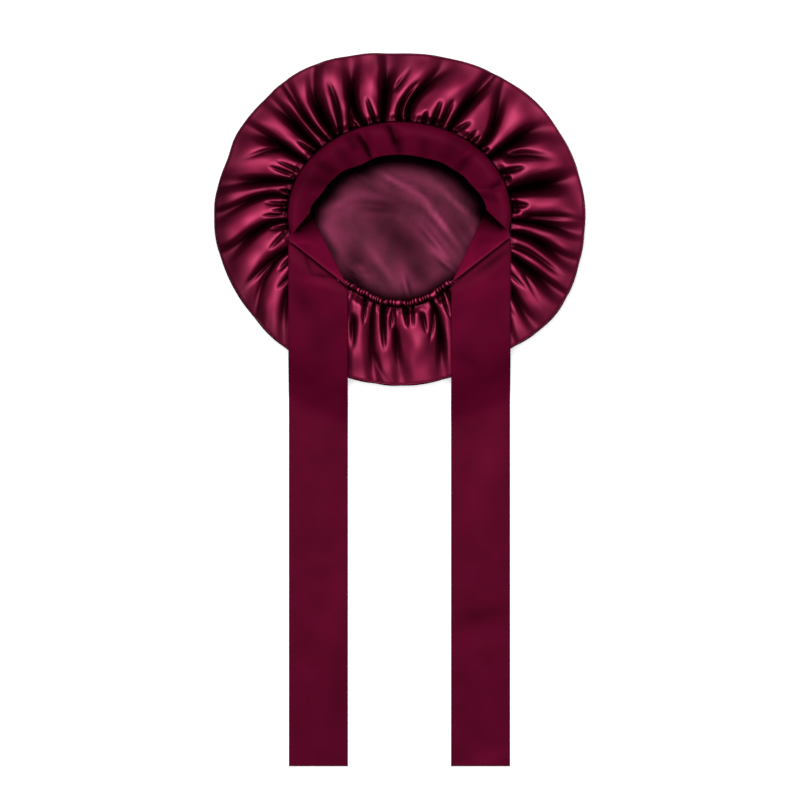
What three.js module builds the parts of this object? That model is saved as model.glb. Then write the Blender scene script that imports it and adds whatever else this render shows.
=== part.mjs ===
// Sleep bonnet of gathered satin that lies on a table with its opening up and both ties laid out.
// Millimetres, +Z up. +Y points from the centre to the front band, and the ties run towards -Y.
// The origin is the centre of the crown's flat underside.
import * as THREE from 'three';

// Crown sizes
const crownWidth = 352;
const crownDepth = 314;
const crownWall = 1.2;
const turnRadius = 5;

// Folds of the gathers, and the furrows between and on them: the narrow part of a furrow and the wide part
// that rounds the cloth beside it
const foldHeight = 14;
const furrowDepth = 8;
const shoulderDepth = 7;

// Opening sizes
const openingWidth = 212;
const openingDepth = 176;
const openingShift = 3;
const rimHeight = 34;

// Band, tie and back edge sizes
const bandWall = 1.6;
const bandArch = 8;
const bandEdgeDrop = 3;
const facetDrop = 18;
const tieWidth = 56;
const tieLength = 499;
const tieInset = 1;
const tieWall = 1.6;
const edgeWidth = 6.4;
const edgeThickness = 4.6;
const edgeSetback = 10;

// How a tie lies on the crown: the share of folds and furrows that it presses flat, the slope at which it
// falls off the outline, and the step and count of the places that hold it up
const pressShare = 0.7;
const drapeSlope = 0.8;
const drapeStep = 4;
const drapeReach = 11;

// Form of the gathered layer: how much it sinks towards the outline, and the power that turns it down there
const layerFall = 0.42;
const outlineTurn = 60;

// Shares of a furrow's depth and of a fold's height that are left at the outline, how far they push the
// outline out or in, and the reach of a furrow's shoulder in degrees and as a share of its half width
const furrowEnd = 0.15;
const foldEnd = 0.4;
const outlinePush = 0.15;
const shoulderReach = 1.5;
const shoulderSpread = 1.6;

// A fold's greatest height as a share of its width, and how round its crest is
const foldSteepness = 0.22;
const crestRoundness = 0.22;

// How much wider a furrow is than the dark line that shows it, and its greatest depth and its shoulder's as
// shares of half their width
const furrowWidening = 1.25;
const furrowSteepness = 1.2;
const shoulderSteepness = 0.5;

// Clearance left between pieces that are sewn together or lie on each other
const clearance = 0.3;

// Counts of the facets in each piece
const crownColumns = 140;
const bandColumns = 7;
const bandSteps = 38;
const tieColumns = 6;
const tieCrownSteps = 21;
const tieFlatSteps = 8;
const edgeStations = 57;
const edgeSides = 6;
const edgePuckers = 28;

// Swells and dents of the crown's outline: angle and spread in degrees, swell as a share of the radius
const outlineSwells = [
  { angle: 0, spread: 8, swell: -0.01 },
  { angle: 45, spread: 20, swell: 0.014 },
  { angle: 124, spread: 19, swell: 0.036 },
  { angle: 152, spread: 8, swell: 0.012 },
  { angle: 207, spread: 17, swell: -0.016 },
  { angle: 308, spread: 10, swell: -0.013 },
  { angle: 332, spread: 14, swell: 0.018 },
];

// Where the ends of the elastic draw the rim in, as shares of its radius
const rimPinches = [
  { angle: 236, spread: 17, swell: -0.08 },
  { angle: 306, spread: 17, swell: -0.095 },
];

// Furrows between the gathers, one row each: its angle in degrees at the rim, at a third and two thirds of
// the way out and at the outline, its half widths in degrees towards lower and higher angles, how much wider
// it is at the outline, the shares of the way out at which it starts and ends, and its depth as a share. A
// furrow that bounds a fold also has that fold's rise, as a share of the fold height, and the place of its
// crest between this furrow (0) and the next that bounds a fold (1).
const furrowColumns = 'seam inner outer outline left right spread start end depth rise crest'.split(' ');
const furrowRows = [
  [-0.5, -0.3, 0, -0.5, 1.8, 1.6, 1.3, 0.2, 1.1, 0.5, 0, 0],
  [1.8, 2, 2, 2, 1.3, 1.3, 1, 0, 0.14, 0.5, 0, 0],
  [4.5, 4.3, 4, 4, 2.2, 2.2, 1, 0, 0.26, 0.7, 0, 0],
  [11.5, 12.5, 12.3, 13, 3.6, 3.2, 1.5, 0, 1.15, 1, 1, 0.36],
  [18.5, 18.5, 18.5, 18.5, 1.6, 1.6, 1, 0, 0.12, 0.5, 0, 0],
  [22.6, 21.2, 20.5, 20, 1.8, 1.8, 1, 0, 0.36, 0.8, 0, 0],
  [28.5, 27.3, 22.4, 19.5, 3.2, 3.2, 1.1, 0.2, 0.85, 0.6, 0, 0],
  [32.5, 33, 33, 29, 3, 2, 1.7, 0, 1.2, 1, 1, 0.5],
  [36.7, 36.7, 36.7, 36.7, 1.2, 1.2, 1, 0, 0.1, 0.4, 0, 0],
  [40, 43, 48.5, 52.5, 2, 2.2, 1.3, 0, 0.98, 0.95, 0.9, 0.6],
  [44.3, 44.5, 45, 45, 1.3, 1.3, 1, 0, 0.16, 0.45, 0, 0],
  [47.5, 47.2, 47, 47, 1.3, 1.5, 1, 0, 0.2, 0.45, 0, 0],
  [56.2, 51.5, 48, 46, 2.2, 2.2, 1, 0.02, 0.27, 0.5, 0, 0],
  [60, 59.5, 58, 56.5, 2.8, 1.8, 1.5, 0, 1.2, 1, 1, 0.4],
  [65.3, 65, 64.6, 64.5, 2, 1.8, 1, 0.02, 0.46, 0.9, 0, 0],
  [69.5, 70, 70, 70, 1.8, 2, 1, 0, 0.4, 0.85, 0, 0],
  [75.5, 75.5, 75.5, 75.5, 1.8, 2, 1, 0, 0.2, 0.6, 0, 0],
  [85, 83.5, 76.7, 74, 3.2, 1.6, 1.5, 0, 1.1, 1, 1, 0.42],
  [89.8, 87.5, 80.5, 78, 2, 2.2, 1.1, 0, 0.64, 0.9, 0, 0],
  [97, 94, 87.8, 84, 2, 2, 1.3, 0.48, 0.9, 0.5, 0, 0],
  [100.5, 97.3, 95, 94, 2.8, 2.4, 1.4, 0, 1.1, 1, 0.95, 0.45],
  [104.8, 105.6, 106, 106, 1.5, 1.6, 1, 0, 0.4, 0.8, 0, 0],
  [111, 112.5, 109.3, 107.3, 2.4, 2.4, 1.4, 0, 1.15, 1, 1, 0.62],
  [116, 116, 116, 116, 1, 1, 1, 0, 0.1, 0.4, 0, 0],
  [119.8, 114.3, 110, 108, 2, 1.4, 1, 0, 0.4, 0.8, 0, 0],
  [126.5, 120.2, 117.8, 117.5, 1.4, 1.4, 1.5, 0, 0.8, 0.8, 0, 0],
  [130, 128, 124.8, 118.5, 3.4, 2.4, 1.3, 0, 0.95, 0.95, 0.6, 0.55],
  [134.2, 134.1, 132.2, 130.5, 1.4, 1.3, 1.2, 0, 1.1, 0.9, 0.9, 0.4],
  [141, 139.5, 138, 137.5, 2.6, 2.2, 1.3, 0, 1.15, 1, 1, 0.55],
  [144.3, 143.8, 143.5, 143.5, 1.5, 1.5, 1, 0, 0.3, 0.8, 0, 0],
  [150.5, 149.5, 149, 149.3, 1.6, 2.4, 1.5, 0, 1.15, 1, 1, 0.52],
  [148, 149.5, 157, 161, 1.8, 1.8, 1.2, 0.36, 0.9, 0.7, 0, 0],
  [156.8, 156, 155.5, 155, 1.2, 1.2, 1, 0.03, 0.36, 0.7, 0, 0],
  [159.5, 159.4, 159.4, 159.4, 1.3, 1.3, 1, 0.1, 0.44, 0.7, 0, 0],
  [160.6, 160.6, 160.6, 160.6, 1.2, 1.2, 1, 0, 0.09, 0.4, 0, 0],
  [162.6, 164.7, 167.3, 170, 1.6, 2.2, 1.8, 0, 1.1, 0.95, 0.9, 0.55],
  [168.4, 168.4, 168.4, 168.4, 1.3, 1.3, 1, 0, 0.17, 0.6, 0, 0],
  [171.6, 171.6, 176, 179.2, 1.3, 1.5, 1.7, 0, 1.15, 0.95, 1, 0.6],
  [175.2, 174.6, 174, 174, 1.4, 1.4, 1, 0, 0.34, 0.6, 0, 0],
  [177.6, 178.2, 178.2, 178.2, 1.2, 1.2, 1, 0, 0.24, 0.6, 0, 0],
  [180, 180.2, 180.2, 180.2, 1.1, 1.1, 1, 0.06, 0.36, 0.7, 0, 0],
  [183.3, 184.6, 189.3, 191.8, 1.5, 1.6, 2.2, 0, 1.15, 1, 1, 0.55],
  [186.5, 186.3, 186.3, 186.3, 1.3, 1.3, 1, 0, 0.28, 0.7, 0, 0],
  [187.5, 194.7, 200, 204, 1.2, 1.4, 1, 0.06, 0.36, 0.7, 0, 0],
  [197.6, 199, 202.3, 205, 1.6, 1.5, 1.6, 0, 1, 0.9, 0, 0],
  [198, 200.6, 206.7, 215, 1.3, 1.1, 1.2, 0.34, 1.15, 0.85, 1, 0.5],
  [200.5, 204.5, 208, 211, 1.8, 1.6, 1, 0, 0.38, 0.8, 0, 0],
  [207, 209.7, 211.5, 213, 1.5, 1.6, 1, 0, 0.54, 0.85, 0, 0],
  [209, 212.7, 220, 229, 1.8, 2, 1.4, 0.1, 0.95, 0.9, 0.8, 0.5],
  [219, 222, 229, 236, 2.2, 2.2, 1.3, 0, 1, 0.7, 0.8, 0.5],
  [229, 233, 239, 243, 2.2, 2.2, 1.3, 0, 1, 0.7, 0.9, 0.7],
  [240, 246.5, 250.5, 252, 2.6, 2.2, 1.1, 0.3, 0.72, 0.9, 0, 0],
  [248, 252, 254, 255, 1.2, 1.3, 1, 0, 0.32, 0.75, 0, 0],
  [254, 256.3, 259, 262, 1.1, 1.1, 1.3, 0, 0.95, 0.85, 0.9, 0.45],
  [255, 258, 260.5, 268, 1, 1, 1.2, 0.66, 1.15, 0.5, 0, 0],
  [260, 262, 264.3, 265, 1.8, 2.2, 1, 0, 0.6, 0.9, 0, 0],
  [265.7, 265.7, 265.7, 265.7, 1.1, 1.1, 1, 0.08, 0.3, 0.6, 0, 0],
  [267.6, 268, 269.6, 270.5, 1.3, 1.6, 1.3, 0.3, 0.85, 0.7, 0.9, 0.45],
  [273.8, 274, 274, 274, 1.8, 1.7, 1, 0, 0.28, 0.85, 0, 0],
  [278, 276.8, 276, 275, 1, 1, 1, 0, 0.28, 0.7, 0, 0],
  [283, 283, 282.5, 282, 1.8, 1.6, 1, 0.12, 0.4, 0.7, 0, 0],
  [291, 286.3, 280.5, 278, 1.2, 1.2, 1, 0.14, 0.52, 0.7, 0, 0],
  [290.4, 290, 287.2, 286, 1.4, 1.5, 1.8, 0, 1.1, 0.95, 0.9, 0.5],
  [294.8, 294.8, 294.8, 294.8, 1.1, 1.1, 1, 0, 0.13, 0.4, 0, 0],
  [297.6, 296.3, 295.5, 295, 1.2, 1.2, 1, 0, 0.34, 0.75, 0, 0],
  [302, 301, 299, 297, 1.5, 1.5, 1.2, 0, 0.6, 0.8, 0.8, 0.5],
  [310, 308, 304, 300, 2.2, 2.2, 1.3, 0, 1, 0.7, 0.8, 0.5],
  [319, 316, 311, 306, 2.4, 2.4, 1.3, 0, 1, 0.7, 0.8, 0.5],
  [327, 322, 316, 312, 2, 2, 1.2, 0, 1, 0.7, 0.8, 0.4],
  [324, 321.5, 319.2, 318, 1, 1, 1, 0.5, 0.82, 0.6, 0, 0],
  [331, 327, 323, 321.3, 1.5, 1.5, 1.3, 0.3, 1.1, 0.9, 0.9, 0.5],
  [331, 327.6, 326.5, 326, 1, 1, 1, 0.2, 0.52, 0.6, 0, 0],
  [334, 331.3, 329, 328, 1.2, 1.2, 1, 0.2, 0.56, 0.7, 0, 0],
  [339, 335.6, 329.8, 327.5, 1, 1, 1, 0.4, 0.85, 0.6, 0, 0],
  [340.5, 338.3, 336, 334.5, 2.2, 1.4, 1.8, 0, 1.1, 1, 1, 0.35],
  [344, 344, 341.3, 340, 1.6, 1.6, 1, 0.08, 0.94, 0.65, 0, 0],
  [350.5, 350, 347, 346, 2.2, 1.8, 1.5, 0, 1.15, 0.95, 0.9, 0.5],
  [356.8, 357, 356, 355, 1.6, 1.6, 1.8, 0, 1.1, 0.95, 0.9, 0.5],
];

const furrows = furrowRows.map((row) => Object.fromEntries(row.map((value, i) => [furrowColumns[i], value])));
const foldBounds = furrows.filter((row) => row.rise > 0).sort((a, b) => a.seam - b.seam);

// Inner edge of the band, as a share of the rim's radius at each angle
const bandEdge = [
  { angle: 3.6, inner: 0.78 },
  { angle: 27, inner: 0.711 },
  { angle: 44, inner: 0.679 },
  { angle: 71, inner: 0.645 },
  { angle: 90, inner: 0.643 },
  { angle: 110, inner: 0.648 },
  { angle: 126, inner: 0.636 },
  { angle: 148, inner: 0.698 },
  { angle: 161, inner: 0.722 },
  { angle: 178.4, inner: 0.803 },
];

// Creases across the band: lean is how far the crease turns from seam to edge, dent a share of the arch
const bandCreases = [
  { angle: 16, spread: 3, lean: -4, dent: 0.3 },
  { angle: 41, spread: 3, lean: 2, dent: -0.22 },
  { angle: 97, spread: 4, lean: -8, dent: 0.35 },
  { angle: 115, spread: 4, lean: 0, dent: 0.4 },
  { angle: 145, spread: 5, lean: 0, dent: -0.22 },
];

// Corners of the band's ends. outer and inner are the two ends of the tie's top crease and tipX and tipY
// the tip where the band's facet dips, as shares of the opening's half width and half depth. start and
// tilt are the band's angle at its first standing section and how much that section leans, in degrees.
const bandEnds = {
  left: { side: -1, outer: -0.275, inner: -0.783, tipX: 0.803, tipY: 0.027, start: 190.5, tilt: -12 },
  right: { side: 1, outer: -0.243, inner: -0.745, tipX: 0.778, tipY: 0.05, start: -8.5, tilt: 12 },
};

const degrees = Math.PI / 180;

function clamp01(x) {
  return Math.min(1, Math.max(0, x));
}

function smooth(from, to, x) {
  const t = clamp01((x - from) / (to - from));
  return t * t * (3 - 2 * t);
}

function mix(a, b, t) {
  return a + (b - a) * t;
}

// Angle from b to a in degrees, between -180 and 180
function turnBetween(a, b) {
  return ((((a - b) % 360) + 540) % 360) - 180;
}

function ellipseRadius(angle, halfWidth, halfDepth) {
  return 1 / Math.hypot(Math.cos(angle * degrees) / halfWidth, Math.sin(angle * degrees) / halfDepth);
}

function swellAt(rows, angle) {
  const bump = (row) => row.swell * Math.exp(-((turnBetween(angle, row.angle) / row.spread) ** 2));
  return rows.reduce((sum, row) => sum + bump(row), 0);
}

// Angle of a furrow's bottom: the cubic through its four stations at 0, 1/3, 2/3 and 1 of the way out
function furrowLine(row, out) {
  const b = out - 1 / 3;
  const c = out - 2 / 3;
  const d = out - 1;
  const near = 13.5 * out * c * d * row.inner - 4.5 * b * c * d * row.seam;
  return near - 13.5 * out * b * d * row.outer + 4.5 * out * b * c * row.outline;
}

// A depth or height that is held back by the steepest that its width allows
function heldBack(full, steepest) {
  return full === 0 ? 0 : (full * steepest) / (full + steepest);
}

// How far a furrow is there at a place on its way out: it starts and fades softly
function furrowReach(row, out) {
  const begun = row.start > 0 ? smooth(row.start - 0.08, row.start + 0.1, out) : 1;
  return begun * (1 - smooth(row.end * 0.4, row.end, out)) * row.depth;
}

// Depth of the furrows. Each is a groove d (1 - u^2)^2 across, and one that bounds no fold lies in a wider
// groove d (1 - u)^2 that rounds the cloth beside it. Both kinds add as power sums.
function furrowAt(angle, out) {
  const along = smooth(0, 0.06, out) * mix(1, furrowEnd, smooth(0.4, 1, out));
  const radius = mix(openingWidth, crownWidth, out) / 2;
  const narrowest = 360 / crownColumns;
  let narrow = 0;
  let wide = 0;
  for (const row of furrows) {
    const side = turnBetween(angle, furrowLine(row, out));
    const grown = mix(1, row.spread, out);
    const half = Math.max(narrowest, furrowWidening * (side < 0 ? row.left : row.right) * grown);
    const reach = shoulderReach + shoulderSpread * half;
    if (Math.abs(side) >= reach) {
      continue;
    }
    const share = furrowReach(row, out) * along;
    const halfLength = ((row.left + row.right) / 2) * grown * degrees * radius;
    const groove = heldBack(furrowDepth * share, furrowSteepness * halfLength);
    narrow += (groove * clamp01(1 - (side / half) ** 2) ** 2) ** 1.5;
    if (row.rise === 0) {
      const shoulder = heldBack(shoulderDepth * share, shoulderSteepness * reach * degrees * radius);
      wide += (shoulder * (1 - Math.abs(side) / reach) ** 2) ** 2;
    }
  }
  return narrow ** (2 / 3) + Math.sqrt(wide);
}

// Height of the folds between the furrows that bound them. Each rises on two even flanks to a crest that a
// hyperbola rounds, and a narrow fold is lower.
function foldAt(angle, out) {
  const radius = mix(openingWidth, crownWidth, out) / 2;
  const span = Math.hypot(1, crestRoundness) - crestRoundness;
  const lines = foldBounds.map((row) => furrowLine(row, out));
  for (let i = 0; i < lines.length; i += 1) {
    const width = (lines[(i + 1) % lines.length] - lines[i] + 720) % 360;
    const place = ((angle - lines[i] + 720) % 360) / width;
    if (place < 1) {
      const { rise, crest } = foldBounds[i];
      const across = place < crest ? 1 - place / crest : (place - crest) / (1 - crest);
      const height = heldBack(foldHeight * rise, foldSteepness * width * degrees * radius);
      const flank = 1 - (Math.hypot(across, crestRoundness) - crestRoundness) / span;
      return height * flank * smooth(0, 0.12, out) * mix(1, foldEnd, smooth(0.5, 1, out));
    }
  }
  return 0;
}

// Height of folds less furrows, which a tie presses flat
function reliefAt(angle, out, press) {
  return (foldAt(angle, out) - furrowAt(angle, out)) * (1 - pressShare * press);
}

// Half widths of the tie strips that press the gathers down
const tieOuterX = openingWidth / 2 - tieInset;
const tieMiddleX = tieOuterX - tieWidth / 2;

function tiePress(x, y) {
  const across = Math.abs(Math.abs(x) - tieMiddleX) / tieWidth;
  const under = 1 - smooth(0.42, 0.6, across);
  return under * (1 - smooth(-openingDepth * 0.22, -openingDepth * 0.08, y));
}

function outlineRadius(angle) {
  return ellipseRadius(angle, crownWidth / 2, crownDepth / 2) * (1 + swellAt(outlineSwells, angle));
}

// The rim is an ellipse about a centre that is shifted forward, so its radius is met by a few steps
function rimPoint(angle) {
  const radius = ellipseRadius(angle, openingWidth / 2, openingDepth / 2) * (1 + swellAt(rimPinches, angle));
  const turn = angle * degrees;
  return new THREE.Vector3(radius * Math.cos(turn), openingShift + radius * Math.sin(turn), 0);
}

// Height of the layer under its folds, from the rim (out 0) to the outline (out 1): a gentle fall that turns
// down at the outline
function layerHeight(out) {
  const fall = (1 - layerFall * out) * Math.sqrt(Math.max(0, 1 - out ** outlineTurn));
  return turnRadius + (rimHeight - turnRadius) * fall;
}

// Point of the crown's outer face, from the rim (out 0) to the side of the outline (out 1). The relief stands
// along the layer's normal, whose sine is 0 on its top and 1 at the outline.
function upperPoint(angle, out) {
  const rim = rimPoint(angle);
  const radius = outlineRadius(angle);
  const x = mix(rim.x, radius * Math.cos(angle * degrees), out);
  const y = mix(rim.y, radius * Math.sin(angle * degrees), out);
  const relief = reliefAt(angle, out, tiePress(x, y));
  const sine = out ** outlineTurn;
  const scale = 1 + (relief * sine * outlinePush) / Math.hypot(x, y);
  return new THREE.Vector3(x * scale, y * scale, layerHeight(out) + relief * Math.sqrt(1 - sine * sine));
}

// The turn under the outline, a quarter circle from the table (turn 0) to the side (turn 90 degrees)
function turnPoint(angle, turn) {
  const side = Math.sin(turn);
  const middle = outlineRadius(angle);
  const press = tiePress(middle * Math.cos(angle * degrees), middle * Math.sin(angle * degrees));
  const radius = middle - turnRadius * (1 - side) + reliefAt(angle, 1, press) * outlinePush * side;
  const z = turnRadius * (1 - Math.cos(turn));
  return new THREE.Vector3(radius * Math.cos(angle * degrees), radius * Math.sin(angle * degrees), z);
}

// Unit normals of a grid of points, along the cross product of its column and row directions
function gridNormals(grid, wraps) {
  const rows = grid.length;
  const columns = grid[0].length;
  return grid.map((row, i) =>
    row.map((point, j) => {
      const before = wraps ? (j + columns - 1) % columns : Math.max(j - 1, 0);
      const after = wraps ? (j + 1) % columns : Math.min(j + 1, columns - 1);
      const along = new THREE.Vector3().subVectors(row[after], row[before]);
      const above = grid[Math.max(i - 1, 0)][j];
      const below = grid[Math.min(i + 1, rows - 1)][j];
      const down = new THREE.Vector3().subVectors(below, above);
      return along.cross(down).normalize();
    }),
  );
}

// Gathers points and triangles into one closed geometry
class Body {
  constructor() {
    this.positions = [];
    this.triangles = [];
  }

  add(point) {
    this.positions.push(point.x, point.y, point.z);
    return this.positions.length / 3 - 1;
  }

  addGrid(grid) {
    return grid.map((row) => row.map((point) => this.add(point)));
  }

  triangle(a, b, c) {
    this.triangles.push(a, b, c);
  }

  quad(a, b, c, d) {
    this.triangle(a, b, c);
    this.triangle(a, c, d);
  }

  // Faces between the rows of a grid of indices, seen from the side its normals point to
  skin(grid, wraps, flipped) {
    for (let i = 0; i + 1 < grid.length; i += 1) {
      const columns = grid[i].length;
      for (let j = 0; j < (wraps ? columns : columns - 1); j += 1) {
        const k = (j + 1) % columns;
        if (flipped) {
          this.quad(grid[i][j], grid[i + 1][j], grid[i + 1][k], grid[i][k]);
        } else {
          this.quad(grid[i][j], grid[i][k], grid[i + 1][k], grid[i + 1][j]);
        }
      }
    }
  }

  // A strip of faces between two lines of indices
  strip(first, second, wraps) {
    for (let j = 0; j < (wraps ? first.length : first.length - 1); j += 1) {
      const k = (j + 1) % first.length;
      this.quad(first[j], first[k], second[k], second[j]);
    }
  }

  fan(centre, ring) {
    ring.forEach((index, j) => this.triangle(centre, index, ring[(j + 1) % ring.length]));
  }

  geometry() {
    const geometry = new THREE.BufferGeometry();
    geometry.setAttribute('position', new THREE.Float32BufferAttribute(this.positions, 3));
    geometry.setIndex(this.triangles);
    const faceted = geometry.toNonIndexed();
    faceted.computeVertexNormals();
    return faceted;
  }
}

function shifted(grid, normals, distance) {
  return grid.map((row, i) => row.map((point, j) => point.clone().addScaledVector(normals[i][j], distance)));
}

// A strip of cloth of even thickness about a middle surface given as rows of points
function clothStrip(grid, wall) {
  const normals = gridNormals(grid, false);
  const body = new Body();
  const front = body.addGrid(shifted(grid, normals, wall / 2));
  const back = body.addGrid(shifted(grid, normals, -wall / 2));
  const last = grid.length - 1;
  const end = grid[0].length - 1;
  body.skin(front, false, false);
  body.skin(back, false, true);
  body.strip(front[last], back[last], false);
  body.strip(back[0], front[0], false);
  body.strip(back.map((row) => row[end]), front.map((row) => row[end]), false);
  body.strip(front.map((row) => row[0]), back.map((row) => row[0]), false);
  return body.geometry();
}

// The crown is one bag: a flat underside, a turn at the outline, and the gathered layer up to the rim
function crownGeometry() {
  const baseShares = [0.6, 1];
  const underTurns = [45];
  const outShares = [1, 0.985, 0.95, 0.89, 0.8, 0.68, 0.55, 0.42, 0.28, 0.15, 0.06, 0];
  const angles = Array.from({ length: crownColumns }, (_, j) => (360 * j) / crownColumns);
  const base = baseShares.map((share) =>
    angles.map((angle) => {
      const radius = share * (outlineRadius(angle) - turnRadius);
      return new THREE.Vector3(radius * Math.cos(angle * degrees), radius * Math.sin(angle * degrees), 0);
    }),
  );
  const under = underTurns.map((turn) => angles.map((angle) => turnPoint(angle, turn * degrees)));
  const upper = outShares.map((out) => angles.map((angle) => upperPoint(angle, out)));
  const grid = [...base, ...under, ...upper];
  const body = new Body();
  const outer = body.addGrid(grid);
  const inner = body.addGrid(shifted(grid, gridNormals(grid, true), -crownWall));
  const last = grid.length - 1;
  body.skin(outer, true, false);
  body.skin(inner, true, true);
  body.strip(outer[last], inner[last], true);
  body.fan(body.add(new THREE.Vector3(0, 0, 0)), [...outer[0]].reverse());
  body.fan(body.add(new THREE.Vector3(0, 0, crownWall)), inner[0]);
  return body.geometry();
}

// Height that holds up a strip of cloth at a place: the crown, and inside the rim the height of the casing
function supportHeight(x, y) {
  const angle = Math.atan2(y, x) / degrees;
  const radius = Math.hypot(x, y);
  const outline = outlineRadius(angle);
  if (radius >= outline) {
    return 0;
  }
  const rim = rimPoint(Math.atan2(y - openingShift, x) / degrees);
  const rimRadius = Math.hypot(rim.x, rim.y);
  const out = clamp01((radius - rimRadius) / (outline - rimRadius));
  const press = tiePress(x, y);
  const layer = layerHeight(out) + reliefAt(angle, out, press);
  const casing = rimHeight + edgeThickness / 2;
  return Math.max(layer, out < 0.12 ? casing : 0);
}

// Middle height of a tie: it lies on the crown and falls off it no steeper than cloth does
function drapeHeight(x, y) {
  let height = 0;
  for (let i = -drapeReach; i <= drapeReach; i += 1) {
    for (let j = -drapeReach; j <= drapeReach; j += 1) {
      const distance = Math.hypot(i, j) * drapeStep;
      const level = supportHeight(x + i * drapeStep, y + j * drapeStep);
      const flat = Math.max(0, distance - 1.6 * drapeStep);
      height = Math.max(height, level - flat * drapeSlope);
    }
  }
  const lift = height > 0 ? clearance * 2 : 0;
  return height + lift + tieWall / 2;
}

// Corners of a band end in plan: the ends of the tie's top crease and the tip of the dipping facet
function endCorners(end) {
  const halfDepth = openingDepth / 2;
  return {
    outer: new THREE.Vector2(end.side * tieOuterX, openingShift + end.outer * halfDepth),
    inner: new THREE.Vector2(end.side * (tieOuterX - tieWidth), openingShift + end.inner * halfDepth),
    tip: new THREE.Vector2((end.side * end.tipX * openingWidth) / 2, openingShift + end.tipY * halfDepth),
  };
}

// A section across the band from its sewn foot to its free edge, arched upwards between them
function bandSection(foot, edge, arch, dent) {
  return Array.from({ length: bandColumns }, (_, j) => {
    const across = j / (bandColumns - 1);
    const reach = across ** 1.25;
    const bow = Math.sin(Math.PI * across ** 0.75);
    const x = mix(foot.x, edge.x, reach);
    const y = mix(foot.y, edge.y, reach);
    const z = mix(foot.z, edge.z, across) + arch * bow * (1 - dent(across));
    return new THREE.Vector3(x, y, z);
  });
}

function edgeShare(angle) {
  const next = Math.max(1, bandEdge.findIndex((row) => row.angle >= angle));
  const a = bandEdge[next - 1];
  const b = bandEdge[next];
  return mix(a.inner, b.inner, smooth(a.angle, b.angle, angle));
}

function creaseAt(angle) {
  return (across) =>
    bandCreases.reduce((sum, row) => {
      const offset = turnBetween(angle, row.angle + row.lean * across) / row.spread;
      return sum + row.dent * Math.exp(-offset * offset);
    }, 0);
}

const noDent = () => 0;

// Foot of the band just inside the crown's rim
function bandFoot(angle) {
  const rim = rimPoint(angle);
  const inward = 2 * clearance + bandWall / 2;
  const scale = 1 - inward / Math.hypot(rim.x, rim.y - openingShift);
  return new THREE.Vector3(rim.x * scale, openingShift + (rim.y - openingShift) * scale, rimHeight);
}

function standingSection(angle) {
  const nearLeft = smooth(150, bandEnds.left.start, angle);
  const nearRight = 1 - smooth(bandEnds.right.start, 32, angle);
  const edgeAngle = angle + bandEnds.left.tilt * nearLeft + bandEnds.right.tilt * nearRight;
  const rim = rimPoint(edgeAngle);
  const share = edgeShare(edgeAngle);
  const edgeY = openingShift + (rim.y - openingShift) * share;
  const edge = new THREE.Vector3(rim.x * share, edgeY, rimHeight - bandEdgeDrop);
  const arch = bandArch * (1 - 0.5 * nearLeft - 0.5 * nearRight);
  return bandSection(bandFoot(angle), edge, arch, creaseAt(angle));
}

// Sections of a band end, from the tie's crease through the dipping facet to the first standing section
function facetSections(end) {
  const corners = endCorners(end);
  const foot = bandFoot(end.start);
  const low = rimHeight - facetDrop;
  const crease = Array.from({ length: bandColumns }, (_, j) => {
    const across = j / (bandColumns - 1);
    const x = mix(corners.outer.x, corners.inner.x, across);
    const y = mix(corners.outer.y, corners.inner.y, across);
    return new THREE.Vector3(x, y, drapeHeight(x, y));
  });
  const top = crease[0];
  const rows = [
    { along: 0.15, level: 0.04, side: 0.14 },
    { along: 0.35, level: 0.42, side: 0.5 },
    { along: 0.6, level: 0.82, side: 0.9 },
    { along: 0.8, level: 1, side: 0.99 },
  ];
  const dips = rows.map((row) => {
    const start = new THREE.Vector3().lerpVectors(top, foot, row.along);
    start.z = mix(top.z, foot.z, row.along ** 3);
    const x = mix(corners.inner.x, corners.tip.x, row.side);
    const y = mix(corners.inner.y, corners.tip.y, row.side);
    const edge = new THREE.Vector3(x, y, mix(crease[bandColumns - 1].z, low, row.level));
    return bandSection(start, edge, 0, noDent);
  });
  return [crease, ...dips];
}

function bandGeometry() {
  const standing = [];
  for (let i = 0; i <= bandSteps; i += 1) {
    standing.push(standingSection(mix(bandEnds.right.start, bandEnds.left.start, i / bandSteps)));
  }
  const grid = [...facetSections(bandEnds.right), ...standing, ...facetSections(bandEnds.left).reverse()];
  return clothStrip(grid, bandWall);
}

// A tie starts beside the band's crease, lies over the gathers, falls over the outline and runs on flat
function tieGeometry(end) {
  const corners = endCorners(end);
  const seamGap = 4 * clearance;
  const landingY = -crownDepth / 2 - rimHeight / 2 / drapeSlope - 2 * drapeStep;
  const lastY = corners.outer.y - tieLength;
  const row = (placeY) =>
    Array.from({ length: tieColumns }, (_, j) => {
      const across = j / (tieColumns - 1);
      const x = mix(corners.outer.x, corners.inner.x, across);
      const startY = mix(corners.outer.y, corners.inner.y, across) - seamGap;
      const y = placeY(startY);
      return new THREE.Vector3(x, y, drapeHeight(x, y));
    });
  const grid = [];
  for (let i = 0; i <= tieCrownSteps; i += 1) {
    grid.push(row((startY) => mix(startY, landingY, i / tieCrownSteps)));
  }
  for (let i = 1; i <= tieFlatSteps; i += 1) {
    grid.push(row(() => mix(landingY, lastY, i / tieFlatSteps)));
  }
  return clothStrip(grid, tieWall);
}

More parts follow.
